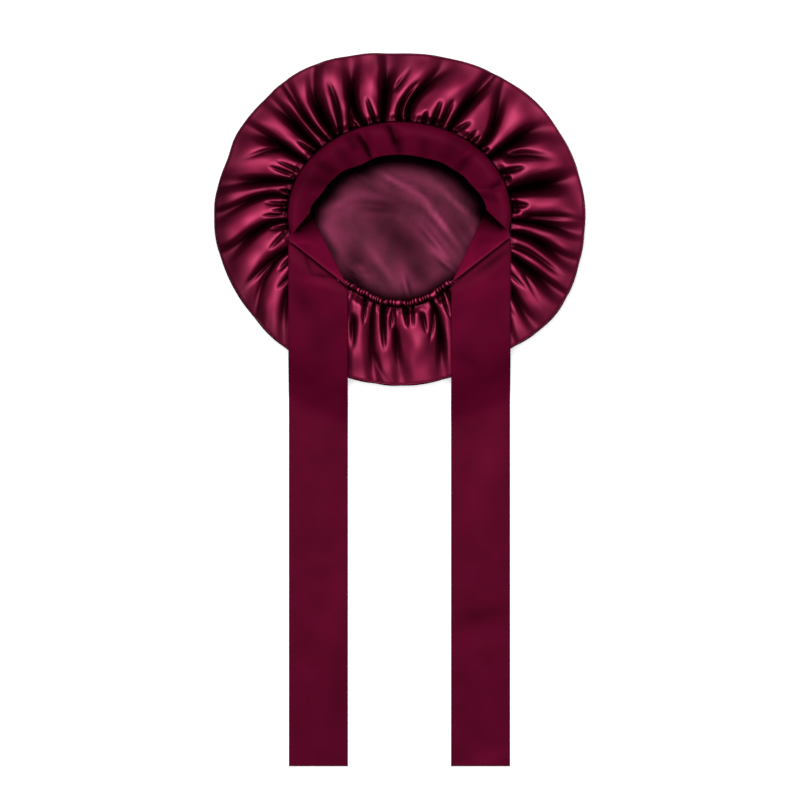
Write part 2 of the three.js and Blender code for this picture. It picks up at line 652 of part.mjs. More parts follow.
// The back edge is a narrow casing drawn up in puckers by its elastic, along the rim from tie to tie
function backEdgeGeometry() {
  const inward = 3 * clearance + edgeWidth / 2;
  const grid = Array.from({ length: edgeStations }, (_, i) => {
    const along = i / (edgeStations - 1);
    const angle = mix(bandEnds.left.start + edgeSetback, 360 + bandEnds.right.start - edgeSetback, along);
    const rim = rimPoint(angle);
    const radius = Math.hypot(rim.x, rim.y - openingShift);
    const pucker = 1 - 0.16 * Math.cos(2 * Math.PI * edgePuckers * along);
    return Array.from({ length: edgeSides }, (_, j) => {
      const turn = (-2 * Math.PI * j) / edgeSides;
      const reach = radius - inward + (edgeWidth / 2) * Math.cos(turn) * Math.min(1, pucker);
      const z = rimHeight - crownWall / 2 + (edgeThickness / 2) * Math.sin(turn) * pucker;
      const scale = reach / radius;
      return new THREE.Vector3(rim.x * scale, openingShift + (rim.y - openingShift) * scale, z);
    });
  });
  const body = new Body();
  const rings = body.addGrid(grid);
  body.skin(rings, true, false);
  body.fan(body.add(centreOf(grid[0])), [...rings[0]].reverse());
  body.fan(body.add(centreOf(grid[edgeStations - 1])), rings[edgeStations - 1]);
  return body.geometry();
}

function centreOf(ring) {
  return ring.reduce((sum, point) => sum.add(point), new THREE.Vector3()).divideScalar(ring.length);
}

const satin = new THREE.MeshStandardMaterial({ color: 0x7a1235, roughness: 0.32, metalness: 0 });
const bandSatin = new THREE.MeshStandardMaterial({ color: 0x5e0f2a, roughness: 0.5, metalness: 0 });

function named(name, geometry, material) {
  const mesh = new THREE.Mesh(geometry, material);
  mesh.name = name;
  return mesh;
}

const bonnet = new THREE.Group();
bonnet.add(named('crown', crownGeometry(), satin));
bonnet.add(named('front_band', bandGeometry(), bandSatin));
bonnet.add(named('back_edge', backEdgeGeometry(), satin));
bonnet.add(named('tie_left', tieGeometry(bandEnds.left), bandSatin));
bonnet.add(named('tie_right', tieGeometry(bandEnds.right), bandSatin));

export default bonnet;
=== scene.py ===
"""Sleep bonnet of gathered satin that lies open side up, with both ties laid out on a pale table.

Shapes are worked out in millimetres as numpy grids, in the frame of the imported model, and become meshes
in metres. Angles are in degrees, counterclockwise seen from above, from +X. On the crown, out is the share of
the way from the rim of the opening (0) to the outline (1).
"""

from collections import namedtuple

import bpy
import numpy as np
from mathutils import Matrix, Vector


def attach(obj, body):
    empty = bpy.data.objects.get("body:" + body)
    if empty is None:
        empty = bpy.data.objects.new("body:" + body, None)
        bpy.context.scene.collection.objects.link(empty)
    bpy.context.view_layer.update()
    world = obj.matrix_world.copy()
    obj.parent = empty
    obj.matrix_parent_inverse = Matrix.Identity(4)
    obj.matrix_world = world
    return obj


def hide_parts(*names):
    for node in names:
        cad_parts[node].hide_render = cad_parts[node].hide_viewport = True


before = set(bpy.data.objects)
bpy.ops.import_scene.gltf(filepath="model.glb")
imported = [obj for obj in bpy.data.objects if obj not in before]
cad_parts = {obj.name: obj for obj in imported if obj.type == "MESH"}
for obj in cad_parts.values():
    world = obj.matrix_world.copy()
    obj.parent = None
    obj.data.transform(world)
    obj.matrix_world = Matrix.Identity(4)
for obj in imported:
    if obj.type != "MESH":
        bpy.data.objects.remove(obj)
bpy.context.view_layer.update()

MM = 0.001

# Crown sizes
CROWN_WIDTH = 352
CROWN_DEPTH = 314
CROWN_WALL = 1.2
TURN_RADIUS = 5
FOLD_HEIGHT = 14
FURROW_DEPTH = 8
SHOULDER_DEPTH = 7

# Opening sizes
OPENING_WIDTH = 212
OPENING_DEPTH = 176
OPENING_SHIFT = 3
RIM_HEIGHT = 34

# Band, tie and back edge sizes
BAND_WALL = 1.6
BAND_ARCH = 8
BAND_EDGE_DROP = 3
FACET_DROP = 18
TIE_WIDTH = 56
TIE_LENGTH = 499
TIE_INSET = 1
TIE_WALL = 1.6
EDGE_WIDTH = 6.4
EDGE_THICKNESS = 4.6
EDGE_SETBACK = 10
CLEARANCE = 0.3

# How a tie lies on the crown: the share of folds and furrows that it presses flat, its steepest fall, how
# far it runs level beyond what holds it up, how far its fall is followed, and how much it stands off there
PRESS_SHARE = 0.7
DRAPE_SLOPE = 0.8
DRAPE_LEVEL = 5
DRAPE_REACH = 40
DRAPE_LIFT = 1.2

# Share of the way out up to which the casing holds up a tie
CASING_REACH = 0.12

# Furrows: the share of their depth at the outline, how much wider a groove is than its row says, and its
# greatest depth as a share of its half width
FURROW_END = 0.15
GROOVE_SPREAD = 1.25
GROOVE_STEEPNESS = 1.2

# Round shoulders of a furrow: how far they reach, in degrees and in half widths of the groove, and their
# greatest depth as a share of that reach
SHOULDER_REACH = 1.5
SHOULDER_SPREAD = 1.6
SHOULDER_STEEPNESS = 0.5

# Folds: the share of their height at the outline, their greatest height as a share of their width, and how
# round their crests are
FOLD_END = 0.62
FOLD_STEEPNESS = 0.24
CREST_ROUNDNESS = 0.4

# How much the layer sinks on its way out, the power that turns it down at the outline, and the share of the
# relief that pushes the outline in and out
LAYER_FALL = 0.42
OUTLINE_TURN = 160
OUTLINE_PUSH = 0.15

# Height of the low swells of the open cloth
CRUMPLE_HEIGHT = 0.2

# Points round the crown, and the share of the way in from the outline on which its rows crowd
CROWN_COLUMNS = 720
TURNED_SHARE = 0.12

# Small pleats that the seam gathers: how many go round, how deep they are, and how far out they reach
SEAM_PLEATS = 118
PLEAT_DEPTH = 0.9
PLEAT_REACH = 0.16

# Soft shade of a furrow: how much light it keeps out, the share of that at the outline, and its width in
# half widths of the furrow, for one that bounds a fold and for another
WEDGE_SHADE = 0.96
WEDGE_END = 0.35
BOUND_WEDGE_WIDTH = 1.2
SHORT_WEDGE_WIDTH = 1.15

# Dark core of a furrow: how much light it keeps out, for one that bounds a fold and for another, and its
# width in half widths of the furrow
BOUND_CORE_SHADE = 0.95
SHORT_CORE_SHADE = 0.85
CORE_WIDTH = 0.5

# Share of the light at the seam, how much light the seam's pleats keep out, and the share of the light on
# the outer part of the crown, where the cloth falls away
SEAM_LIGHT = 0.2
PLEAT_SHADE = 0.6
OUTER_LIGHT = 0.57

# How much lighter the turn at the outline is than the outer part, and the upright side than the turn
RIM_LIGHT = 1.5
SIDE_LIGHT = 2

# Least share of the light in a dark patch, and the share of the light under the band's free edge
LEAST_LIGHT = 0.15
LINING_EDGE_LIGHT = 0.01

# How much brighter the facets are than the level cloth beside them, the shares of the light on a facet and on
# a tie at the crease between them, and how much light the shadow of the band's free edge keeps out
FACET_LIGHT = 1.5
FACET_CREASE_LIGHT = 0.25
TIE_CREASE_LIGHT = 0.4
FACET_SHADOW = 0.97

# Height of the slack bottom cloth, so that its dents clear the table, and share of its wrinkles' rise
LINING_LIFT = 2.4
WRINKLE_SHARE = 0.75

Furrow = namedtuple(
    "Furrow", "seam inner outer outline left right spread start end depth rise crest", defaults=(0, 0)
)
End = namedtuple("End", "side outer inner tip_x tip_y start tilt")
Light = namedtuple("Light", "name turn tilt size power")

# Swells and dents of the crown's outline: angle, half width in degrees and rise as a share of the radius
OUTLINE_SWELLS = [
    (45, 20, 0.014),
    (88, 9, -0.008),
    (124, 19, 0.036),
    (152, 8, 0.012),
    (161, 6, -0.014),
    (207, 17, -0.016),
    (270, 12, 0.012),
    (309, 8, -0.014),
    (330, 14, 0.022),
]

# Where the outer part of the crown is darker or lighter than OUTER_LIGHT, in the same way
LIGHT_SWELLS = [(180, 45, -0.33), (270, 25, 0.3), (22, 14, 0.25)]

# Where the ends of the elastic draw the rim in, in the same way
RIM_PINCHES = [(236, 17, -0.08), (306, 17, -0.095)]

# Furrows between the gathers, one row each: its angle at the rim, a third and two thirds of the way out and
# at the outline, its half widths towards lower and higher angles, how much wider it is at the outline, the
# shares of the way at which it starts and ends, and its depth as a share of the furrow depth. A furrow that
# bounds a fold also has that fold's rise, as a share of the fold height, and the place of its crest between
# this furrow (0) and the next that bounds a fold (1).
FURROW_ROWS = [
    (-0.5, -0.3, 0, -0.5, 1.8, 1.6, 1.3, 0.2, 1.1, 0.5),
    (1.8, 2, 2, 2, 1.3, 1.3, 1, 0, 0.14, 0.5),
    (4.5, 4.3, 4, 4, 2.2, 2.2, 1, 0, 0.26, 0.7),
    (11.5, 12.5, 12.3, 13, 3.6, 3.2, 1.5, 0, 1.15, 1, 1, 0.36),
    (18.5, 18.5, 18.5, 18.5, 1.6, 1.6, 1, 0, 0.12, 0.5),
    (22.6, 21.2, 20.5, 20, 1.8, 1.8, 1, 0, 0.36, 0.8),
    (28.5, 27.3, 22.4, 19.5, 3.2, 3.2, 1.1, 0.2, 0.85, 0.6),
    (32.5, 33, 33, 29, 3, 2, 1.7, 0, 1.2, 1, 1, 0.5),
    (36.7, 36.7, 36.7, 36.7, 1.2, 1.2, 1, 0, 0.1, 0.4),
    (40, 43, 48.5, 52.5, 2, 2.2, 1.3, 0, 0.98, 0.95, 0.9, 0.6),
    (44.3, 44.5, 45, 45, 1.3, 1.3, 1, 0, 0.16, 0.45),
    (47.5, 47.2, 47, 47, 1.3, 1.5, 1, 0, 0.2, 0.45),
    (56.2, 51.5, 48, 46, 2.2, 2.2, 1, 0.02, 0.27, 0.5),
    (60, 59.5, 58, 56.5, 2.8, 1.8, 1.5, 0, 1.2, 1, 1, 0.4),
    (65.3, 65, 64.6, 64.5, 2, 1.8, 1, 0.02, 0.46, 0.9),
    (69.5, 70, 70, 70, 1.8, 2, 1, 0, 0.4, 0.85),
    (75.5, 75.5, 75.5, 75.5, 1.8, 2, 1, 0, 0.2, 0.6),
    (85, 83.5, 76.7, 74, 3.2, 1.6, 1.5, 0, 1.1, 1, 1, 0.42),
    (89.8, 87.5, 80.5, 78, 2, 2.2, 1.1, 0, 0.64, 0.9),
    (97, 94, 87.8, 84, 2, 2, 1.3, 0.48, 0.9, 0.5),
    (100.5, 97.3, 95, 94, 2.8, 2.4, 1.4, 0, 1.1, 1, 0.95, 0.45),
    (104.8, 105.6, 106, 106, 1.5, 1.6, 1, 0, 0.4, 0.8),
    (111, 112.5, 109.3, 107.3, 2.4, 2.4, 1.4, 0, 1.15, 1, 1, 0.62),
    (116, 116, 116, 116, 1, 1, 1, 0, 0.1, 0.4),
    (119.8, 114.3, 110, 108, 2, 1.4, 1, 0, 0.4, 0.8),
    (126.5, 120.2, 117.8, 117.5, 1.4, 1.4, 1.5, 0, 0.8, 0.8),
    (130, 128, 124.8, 118.5, 3.4, 2.4, 1.3, 0, 0.95, 0.95, 0.6, 0.55),
    (134.2, 134.1, 132.2, 130.5, 1.4, 1.3, 1.2, 0, 1.1, 0.9, 0.9, 0.4),
    (141, 139.5, 138, 137.5, 2.6, 2.2, 1.3, 0, 1.15, 1, 1, 0.55),
    (144.3, 143.8, 143.5, 143.5, 1.5, 1.5, 1, 0, 0.3, 0.8),
    (150.5, 149.5, 149, 149.3, 1.6, 2.4, 1.5, 0, 1.15, 1, 1, 0.52),
    (148, 149.5, 157, 161, 1.8, 1.8, 1.2, 0.36, 0.9, 0.7),
    (156.8, 156, 155.5, 155, 1.2, 1.2, 1, 0.03, 0.36, 0.7),
    (159.5, 159.4, 159.4, 159.4, 1.3, 1.3, 1, 0.1, 0.44, 0.7),
    (160.6, 160.6, 160.6, 160.6, 1.2, 1.2, 1, 0, 0.09, 0.4),
    (162.6, 164.7, 167.3, 170, 1.6, 2.2, 1.8, 0, 1.1, 0.95, 0.9, 0.55),
    (168.4, 168.4, 168.4, 168.4, 1.3, 1.3, 1, 0, 0.17, 0.6),
    (171.6, 171.6, 176, 179.2, 1.3, 1.5, 1.7, 0, 1.15, 0.95, 1, 0.6),
    (175.2, 174.6, 174, 174, 1.4, 1.4, 1, 0, 0.34, 0.6),
    (177.6, 178.2, 178.2, 178.2, 1.2, 1.2, 1, 0, 0.24, 0.6),
    (180, 180.2, 180.2, 180.2, 1.1, 1.1, 1, 0.06, 0.36, 0.7),
    (183.3, 184.6, 189.3, 191.8, 1.5, 1.6, 2.2, 0, 1.15, 1, 1, 0.55),
    (186.5, 186.3, 186.3, 186.3, 1.3, 1.3, 1, 0, 0.28, 0.7),
    (187.5, 194.7, 200, 204, 1.2, 1.4, 1, 0.06, 0.36, 0.7),
    (197.6, 199, 202.3, 205, 1.6, 1.5, 1.6, 0, 1, 0.9),
    (198, 200.6, 206.7, 215, 1.3, 1.1, 1.2, 0.34, 1.15, 0.85, 1, 0.5),
    (200.5, 204.5, 208, 211, 1.8, 1.6, 1, 0, 0.38, 0.8),
    (207, 209.7, 211.5, 213, 1.5, 1.6, 1, 0, 0.54, 0.85),
    (209, 212.7, 220, 229, 1.8, 2, 1.4, 0.1, 0.95, 0.9, 0.8, 0.5),
    (219, 222, 229, 236, 2.2, 2.2, 1.3, 0, 1, 0.7, 0.8, 0.5),
    (229, 233, 239, 243, 2.2, 2.2, 1.3, 0, 1, 0.7, 0.9, 0.7),
    (240, 246.5, 250.5, 252, 2.6, 2.2, 1.1, 0.3, 0.72, 0.9),
    (248, 252, 254, 255, 1.2, 1.3, 1, 0, 0.32, 0.75),
    (254, 256.3, 259, 262, 1.1, 1.1, 1.3, 0, 0.95, 0.85, 0.9, 0.45),
    (255, 258, 260.5, 268, 1, 1, 1.2, 0.66, 1.15, 0.5),
    (260, 262, 264.3, 265, 1.8, 2.2, 1, 0, 0.6, 0.9),
    (265.7, 265.7, 265.7, 265.7, 1.1, 1.1, 1, 0.08, 0.3, 0.6),
    (267.6, 268, 269.6, 270.5, 1.3, 1.6, 1.3, 0.3, 0.85, 0.7, 0.9, 0.45),
    (273.8, 274, 274, 274, 1.8, 1.7, 1, 0, 0.28, 0.85),
    (278, 276.8, 276, 275, 1, 1, 1, 0, 0.28, 0.7),
    (283, 283, 282.5, 282, 1.8, 1.6, 1, 0.12, 0.4, 0.7),
    (291, 286.3, 280.5, 278, 1.2, 1.2, 1, 0.14, 0.52, 0.7),
    (290.4, 290, 287.2, 286, 1.4, 1.5, 1.8, 0, 1.1, 0.95, 0.9, 0.5),
    (294.8, 294.8, 294.8, 294.8, 1.1, 1.1, 1, 0, 0.13, 0.4),
    (297.6, 296.3, 295.5, 295, 1.2, 1.2, 1, 0, 0.34, 0.75),
    (302, 301, 299, 297, 1.5, 1.5, 1.2, 0, 0.6, 0.8, 0.8, 0.5),
    (310, 308, 304, 300, 2.2, 2.2, 1.3, 0, 1, 0.7, 0.8, 0.5),
    (319, 316, 311, 306, 2.4, 2.4, 1.3, 0, 1, 0.7, 0.8, 0.5),
    (327, 322, 316, 312, 2, 2, 1.2, 0, 1, 0.7, 0.8, 0.4),
    (324, 321.5, 319.2, 318, 1, 1, 1, 0.5, 0.82, 0.3),
    (331, 327, 323, 321.3, 1.5, 1.5, 1.3, 0.3, 1.1, 0.9, 0.9, 0.5),
    (331, 327.6, 326.5, 326, 1, 1, 1, 0.2, 0.52, 0.4),
    (334, 331.3, 329, 328, 1.2, 1.2, 1, 0.2, 0.56, 0.45),
    (339, 335.6, 329.8, 327.5, 1, 1, 1, 0.4, 0.85, 0.3),
    (340.5, 338.3, 336, 334.5, 2.2, 1.4, 1.8, 0, 1.1, 1, 1, 0.35),
    (344, 344, 341.3, 340, 1.6, 1.6, 1, 0.08, 0.94, 0.65),
    (350.5, 350, 347, 346, 2.2, 1.8, 1.5, 0, 1.15, 0.95, 0.9, 0.5),
    (356.8, 357, 356, 355, 1.6, 1.6, 1.8, 0, 1.1, 0.95, 0.9, 0.5),
]
FURROWS = [Furrow(*row) for row in FURROW_ROWS]

# Free edge of the band: angle and share of the rim's radius
BAND_EDGE = [
    (3.6, 0.78),
    (27, 0.711),
    (44, 0.679),
    (71, 0.645),
    (90, 0.643),
    (110, 0.648),
    (126, 0.636),
    (148, 0.698),
    (161, 0.722),
    (178.4, 0.803),
]

# Dents and swells across the band: angle at the seam, half width in degrees, lean towards the free edge, and
# dent as a share of the band's arch
BAND_CREASES = [
    (16, 3, -4, 0.5),
    (41, 3, 2, -0.4),
    (97, 4, -8, 0.55),
    (115, 4, 0, 0.6),
    (145, 5, 0, -0.4),
]

# Dark strokes along the band's creases: angle at the seam, lean towards the free edge, half width in
# degrees, the shares across at which the stroke starts and ends, and how much light it keeps out
BAND_STROKES = [
    (118.5, -2, 2.6, 0.25, 0.85, 0.75),
    (113.5, 4, 2.2, 0.5, 1, 0.7),
    (98, -6, 3, 0.15, 0.75, 0.8),
    (93, -3, 4, 0.55, 1, 0.6),
    (124, 0, 3.4, 0.2, 0.6, 0.5),
    (132, 3, 5, 0.3, 1, 0.35),
    (146, 2, 3.5, 0.3, 0.9, 0.4),
    (161, -3, 8, 0.2, 1, 0.5),
    (74, -6, 5, 0.5, 1, 0.35),
    (52, -2, 8, 0.2, 0.9, 0.4),
    (41, -4, 3.4, 0.55, 1, 0.5),
    (19, -9, 2.2, 0.15, 0.6, 0.6),
    (8, -3, 5, 0.5, 1, 0.4),
]

# Wrinkles of the crown's bottom, seen inside, in plan: middle, turn, half length, half width and rise
LINING_WRINKLES = [
    (-2, 34, -29, 25, 5, 1.8),
    (41, -6, -53, 36, 6, 2.0),
    (53, 15, -42, 30, 5, 1.6),
    (32, -20, -51, 28, 4, 1.3),
    (-18, -44, -53, 28, 7, 2.0),
    (-18, 11, -5, 22, 5, -1.6),
    (4, -20, -45, 30, 11, -1.8),
    (-56, 15, 27, 22, 7, 1.5),
    (-61, -22, -60, 22, 7, 1.5),
    (-41, -51, -50, 9, 2.5, 1.4),
    (-46, -56, -50, 9, 2.5, -1.2),
    (44, -43, -40, 14, 4, 1.5),
    (6, -65, -75, 14, 4, 1.5),
    (26, 45, -40, 14, 6, 1.0),
    (14, 14, -36, 20, 4, 1.1),
    (68, -8, -50, 18, 4, 1.2),
    (-36, 40, -35, 18, 5, 1.2),
]

# Lighter and darker patches of the lining, the band's facets and the ties, in plan: middle, turn, half
# length, half width and how much they change the light
LINING_PATCHES = [
    (-2, 34, -29, 25, 3.2, 0.7),
    (41, -6, -53, 34, 3.2, 1.0),
    (30, 8, -45, 20, 2.6, 0.45),
    (54, 15, -42, 30, 3, 0.8),
    (38, -32, -47, 18, 7, 0.8),
    (-16, -44, -53, 26, 6.5, 0.9),
    (-56, 12, 20, 22, 9, 0.55),
    (-61, -18, -60, 22, 7, 0.4),
    (7, -62, -75, 14, 3, 0.7),
    (-35, -50, -50, 9, 2, 0.6),
    (-12, 45, -20, 30, 5, 0.25),
    (-15, 10, -3, 20, 5, -0.5),
    (2, -20, -45, 32, 12, -0.7),
    (-10, 22, -20, 30, 4, -0.3),
    (26, 36, -35, 20, 5, 0.3),
    (60, -10, -50, 24, 4, -0.45),
    (-41, -40, -55, 16, 10, -0.6),
    (20, -54, -42, 16, 7, -0.45),
    (60, -30, -50, 20, 4, -0.45),
    (24, 24, -35, 26, 3.5, -0.4),
    (-46, -57, -50, 10, 3, -0.5),
    (-50, 34, -15, 24, 4, -0.25),
    (70, 8, -45, 20, 4, -0.3),
]

BAND_PATCHES = [
    (-95, -24, 4, 9, 1.6, 0.35),
    (-86, -38, -60, 18, 5, -0.15),
    (80, -22, 20, 10, 5, -0.3),
    (92, -26, 10, 9, 2, 0.2),
    (64, -44, 60, 14, 5, 0.2),
]

TIE_PATCHES = [
    (-87, -42, -67, 11, 1.9, -0.5),
    (-73, -55, -10, 11, 1.9, -0.55),
    (-77, -62, -14, 17, 4, 0.35),
    (-100, -38, -60, 12, 4, 0.25),
    (-90, -80, -50, 18, 9, -0.35),
    (-75, -120, 70, 25, 14, -0.2),
    (-61, -362, 85, 60, 12, 0.12),
    (-60, -450, 90, 40, 10, -0.2),
    (78, -67, 24, 24, 11, 0.45),
    (89, -41, 37, 20, 3.2, -0.5),
    (60, -101, 60, 20, 10, 0.25),
    (64, -133, -30, 14, 8, -0.25),
    (81, -234, 75, 45, 14, 0.25),
    (78, -376, 12, 26, 9, -0.3),
    (76, -402, 0, 26, 9, 0.15),
    (86, -511, 15, 22, 8, 0.3),
]

# Ends of the band: side, outer and inner ends of the tie's crease as shares of the opening's half depth, the
# facet's tip as shares of its half width and half depth, the angle where the standing part starts, and how
# far its free edge leans there
LEFT_END = End(-1, -0.275, -0.783, 0.803, 0.027, 190.5, -12)
RIGHT_END = End(1, -0.243, -0.745, 0.778, 0.05, -8.5, 12)

# A facet's sections: share of the way along its foot, and shares of the free edge's fall and of its way from
# the tie's crease to the tip
FACET_STEPS = [(0.15, 0.04, 0.14), (0.35, 0.42, 0.5), (0.6, 0.82, 0.9), (0.8, 1, 0.99)]

# Puckers along the casing, and how much light their dips keep out
PUCKERS = 58
PUCKER_SHADE = 0.85

# Soft lights over the table, their distance from the place that they face, and the light all round
LIGHTS = [
    Light("overhead", 110, 8, 1.4, 44),
    Light("left", 175, 55, 0.9, 0.5),
]
LIGHT_TARGET = Vector((0, -0.1, 0))
LIGHT_DISTANCE = 1.9
WORLD_LIGHT = 0.012

TIE_OUTER_X = OPENING_WIDTH / 2 - TIE_INSET
TIE_MIDDLE_X = TIE_OUTER_X - TIE_WIDTH / 2


# Plain helpers


def smooth(low, high, x):
    """Goes from 0 at low to 1 at high with level ends."""
    t = np.clip((x - low) / (high - low), 0, 1)
    return t * t * (3 - 2 * t)


def mix(a, b, t):
    """The place a share t of the way from a to b."""
    return a + (b - a) * t


def turn_between(a, b):
    """Angle from b to a, from -180 to 180."""
    return (a - b + 540) % 360 - 180


def polar(radius, angle):
    """X and Y of a radius and an angle."""
    return radius * np.cos(np.radians(angle)), radius * np.sin(np.radians(angle))


def ellipse_radius(angle, half_width, half_depth):
    """Radius of an ellipse at an angle from its centre."""
    return 1 / np.hypot(np.cos(np.radians(angle)) / half_width, np.sin(np.radians(angle)) / half_depth)


def bell(u):
    """Round bump that is 1 in its middle."""
    return np.exp(-(u**2))


def held_below(full, limit):
    """Nearly full where the limit is large, and nearly the limit where it is small."""
    return full * limit / (full + limit)


def swell_at(rows, angle):
    """Sum of a round bump for each row."""
    return sum(rise * bell(turn_between(angle, middle) / spread) for middle, spread, rise in rows)


# The crown's form


def furrow_line(row, out):
    """Angle of a furrow's bottom: the cubic through its four stations at 0, 1/3, 2/3 and 1."""
    a, b, c, d = out, out - 1 / 3, out - 2 / 3, out - 1
    inner = 13.5 * a * c * d * row.inner - 4.5 * b * c * d * row.seam
    return inner - 13.5 * a * b * d * row.outer + 4.5 * a * b * c * row.outline


def furrow_reach(row, out):
    """How far a furrow is there at a place on its way out: it starts softly and fades to a tip."""
    begin = smooth(row.start - 0.08, row.start + 0.1, out) if row.start > 0 else 1
    return begin * (1 - smooth(row.end * 0.4, row.end, out)) * row.depth


def furrow_taper(row, out):
    """Width of a furrow as a share of its width at the rim: one that bounds a fold spreads with the fold,
    and another narrows to a tip."""
    tip = 1 if row.rise > 0 else mix(1.2, 0.4, np.clip(out / row.end, 0, 1))
    return mix(1, row.spread, out) * tip


def furrow_at(angle, out):
    """Depth of the furrows. Each is a groove d (1 - u^2)^2 across, limited by its width, and one that
    bounds no fold lies in a wider groove d (1 - u)^2 that rounds the cloth beside it. Powers of 1.5 and 2
    blend the grooves where they meet."""
    along = smooth(0, 0.06, out) * mix(1, FURROW_END, smooth(0.4, 1, out))
    radius = mix(OPENING_WIDTH, CROWN_WIDTH, out) / 2
    sharp = 0
    wide = 0
    for row in FURROWS:
        side = turn_between(angle, furrow_line(row, out))
        half = GROOVE_SPREAD * np.where(side < 0, row.left, row.right) * furrow_taper(row, out)
        inside = furrow_reach(row, out) * along
        half_length = np.radians((row.left + row.right) / 2 * mix(1, row.spread, out)) * radius
        full = FURROW_DEPTH * inside + 1e-6
        limit = GROOVE_STEEPNESS * half_length
        sharp = sharp + (held_below(full, limit) * np.clip(1 - (side / half) ** 2, 0, 1) ** 2) ** 1.5
        if row.rise > 0:
            continue
        full = SHOULDER_DEPTH * inside + 1e-6
        reach = SHOULDER_REACH + SHOULDER_SPREAD * half
        limit = SHOULDER_STEEPNESS * np.radians(reach) * radius
        wide = wide + (held_below(full, limit) * np.clip(1 - np.abs(side) / reach, 0, 1) ** 2) ** 2
    return sharp ** (2 / 3) + np.sqrt(wide)


def fold_at(angle, out):
    """Height of the folds between the furrows that bound them. Each rises on two even flanks to a crest
    that a hyperbola rounds, the valleys grow round on the way out, and a narrow fold is lower."""
    span = np.hypot(1, CREST_ROUNDNESS) - CREST_ROUNDNESS
    radius = mix(OPENING_WIDTH, CROWN_WIDTH, out) / 2
    bounds = [row for row in FURROWS if row.rise > 0]
    bounds.sort(key=lambda row: row.seam)
    height = 0 * (angle + out)
    for i, row in enumerate(bounds):
        after = bounds[(i + 1) % len(bounds)]
        start = furrow_line(row, out)
        width = (furrow_line(after, out) - start) % 360
        place = ((angle - start) % 360) / width
        beyond = (place - row.crest) / (1 - row.crest)
        across = np.where(place < row.crest, 1 - place / row.crest, beyond)
        full = FOLD_HEIGHT * row.rise
        limit = FOLD_STEEPNESS * np.radians(width) * radius
        flank = 1 - (np.hypot(across, CREST_ROUNDNESS) - CREST_ROUNDNESS) / span
        flank = mix(flank, smooth(0, 1, flank), smooth(0.45, 0.85, out))
        height = np.where(place < 1, held_below(full, limit) * flank, height)
    return height * smooth(0, 0.12, out) * mix(1, FOLD_END, smooth(0.5, 1, out))


def tie_press(x, y):
    """How much of a tie lies over a place, from 0 beside the tie and before its start to 1."""
    across = np.abs(np.abs(x) - TIE_MIDDLE_X) / TIE_WIDTH
    under = 1 - smooth(0.42, 0.6, across)
    return under * (1 - smooth(-OPENING_DEPTH * 0.22, -OPENING_DEPTH * 0.08, y))


def outline_radius(angle):
    """Radius of the crown's outline: an ellipse with its swells."""
    round_radius = ellipse_radius(angle, CROWN_WIDTH / 2, CROWN_DEPTH / 2)
    return round_radius * (1 + swell_at(OUTLINE_SWELLS, angle))


def rim_place(angle):
    """X and Y of the rim, an ellipse about a centre that is shifted forward, drawn in by the elastic."""
    radius = ellipse_radius(angle, OPENING_WIDTH / 2, OPENING_DEPTH / 2)
    x, y = polar(radius * (1 + swell_at(RIM_PINCHES, angle)), angle)
    return x, y + OPENING_SHIFT


def middle_radius(x, y):
    """Distance of a place from the opening's middle, in plan."""
    return np.hypot(x, y - OPENING_SHIFT)


def drawn_in(x, y, share):
    """X and Y of a place drawn towards the opening's middle."""
    return x * share, OPENING_SHIFT + (y - OPENING_SHIFT) * share


def layer_height(out):
    """Height of the gathered layer under its folds, from the rim (out 0) to the outline (out 1): a gentle
    fall that turns down at the outline as the root of 1 less a high power of out."""
    fall = (1 - LAYER_FALL * out) * np.sqrt(np.clip(1 - out**OUTLINE_TURN, 0, 1))
    return TURN_RADIUS + (RIM_HEIGHT - TURN_RADIUS) * fall


def pleat_at(angle, out):
    """Depth of the seam's small pleats: a cosine around the rim whose pace and depth waver."""
    waver = 2.2 * np.sin(np.radians(7 * angle)) + 1.5 * np.sin(np.radians(17 * angle))
    wave = np.cos(np.radians(SEAM_PLEATS * angle) + waver)
    depth = PLEAT_DEPTH * (0.7 + 0.3 * np.sin(np.radians(11 * angle)))
    return depth * (0.5 - 0.5 * wave) * (1 - smooth(0.3 * PLEAT_REACH, PLEAT_REACH, out))


def crumple_at(angle, out):
    """Low swells that keep the open cloth uneven: three slanted waves."""
    turn = np.radians(angle)
    waves = np.sin(19 * turn + 9 * out + 2 * np.sin(5 * turn))
    waves = waves + np.sin(31 * turn - 13 * out + 2 * np.sin(3 * turn))
    waves = waves + 0.8 * np.sin(11 * turn + 17 * out + 3 * np.sin(4 * turn))
    return CRUMPLE_HEIGHT * waves * smooth(0.1, 0.35, out)


def relief_at(angle, out, press):
    """Height of folds less furrows and pleats, which a tie presses flat."""
    relief = fold_at(angle, out) + crumple_at(angle, out) - furrow_at(angle, out) - pleat_at(angle, out)
    return relief * (1 - PRESS_SHARE * press)


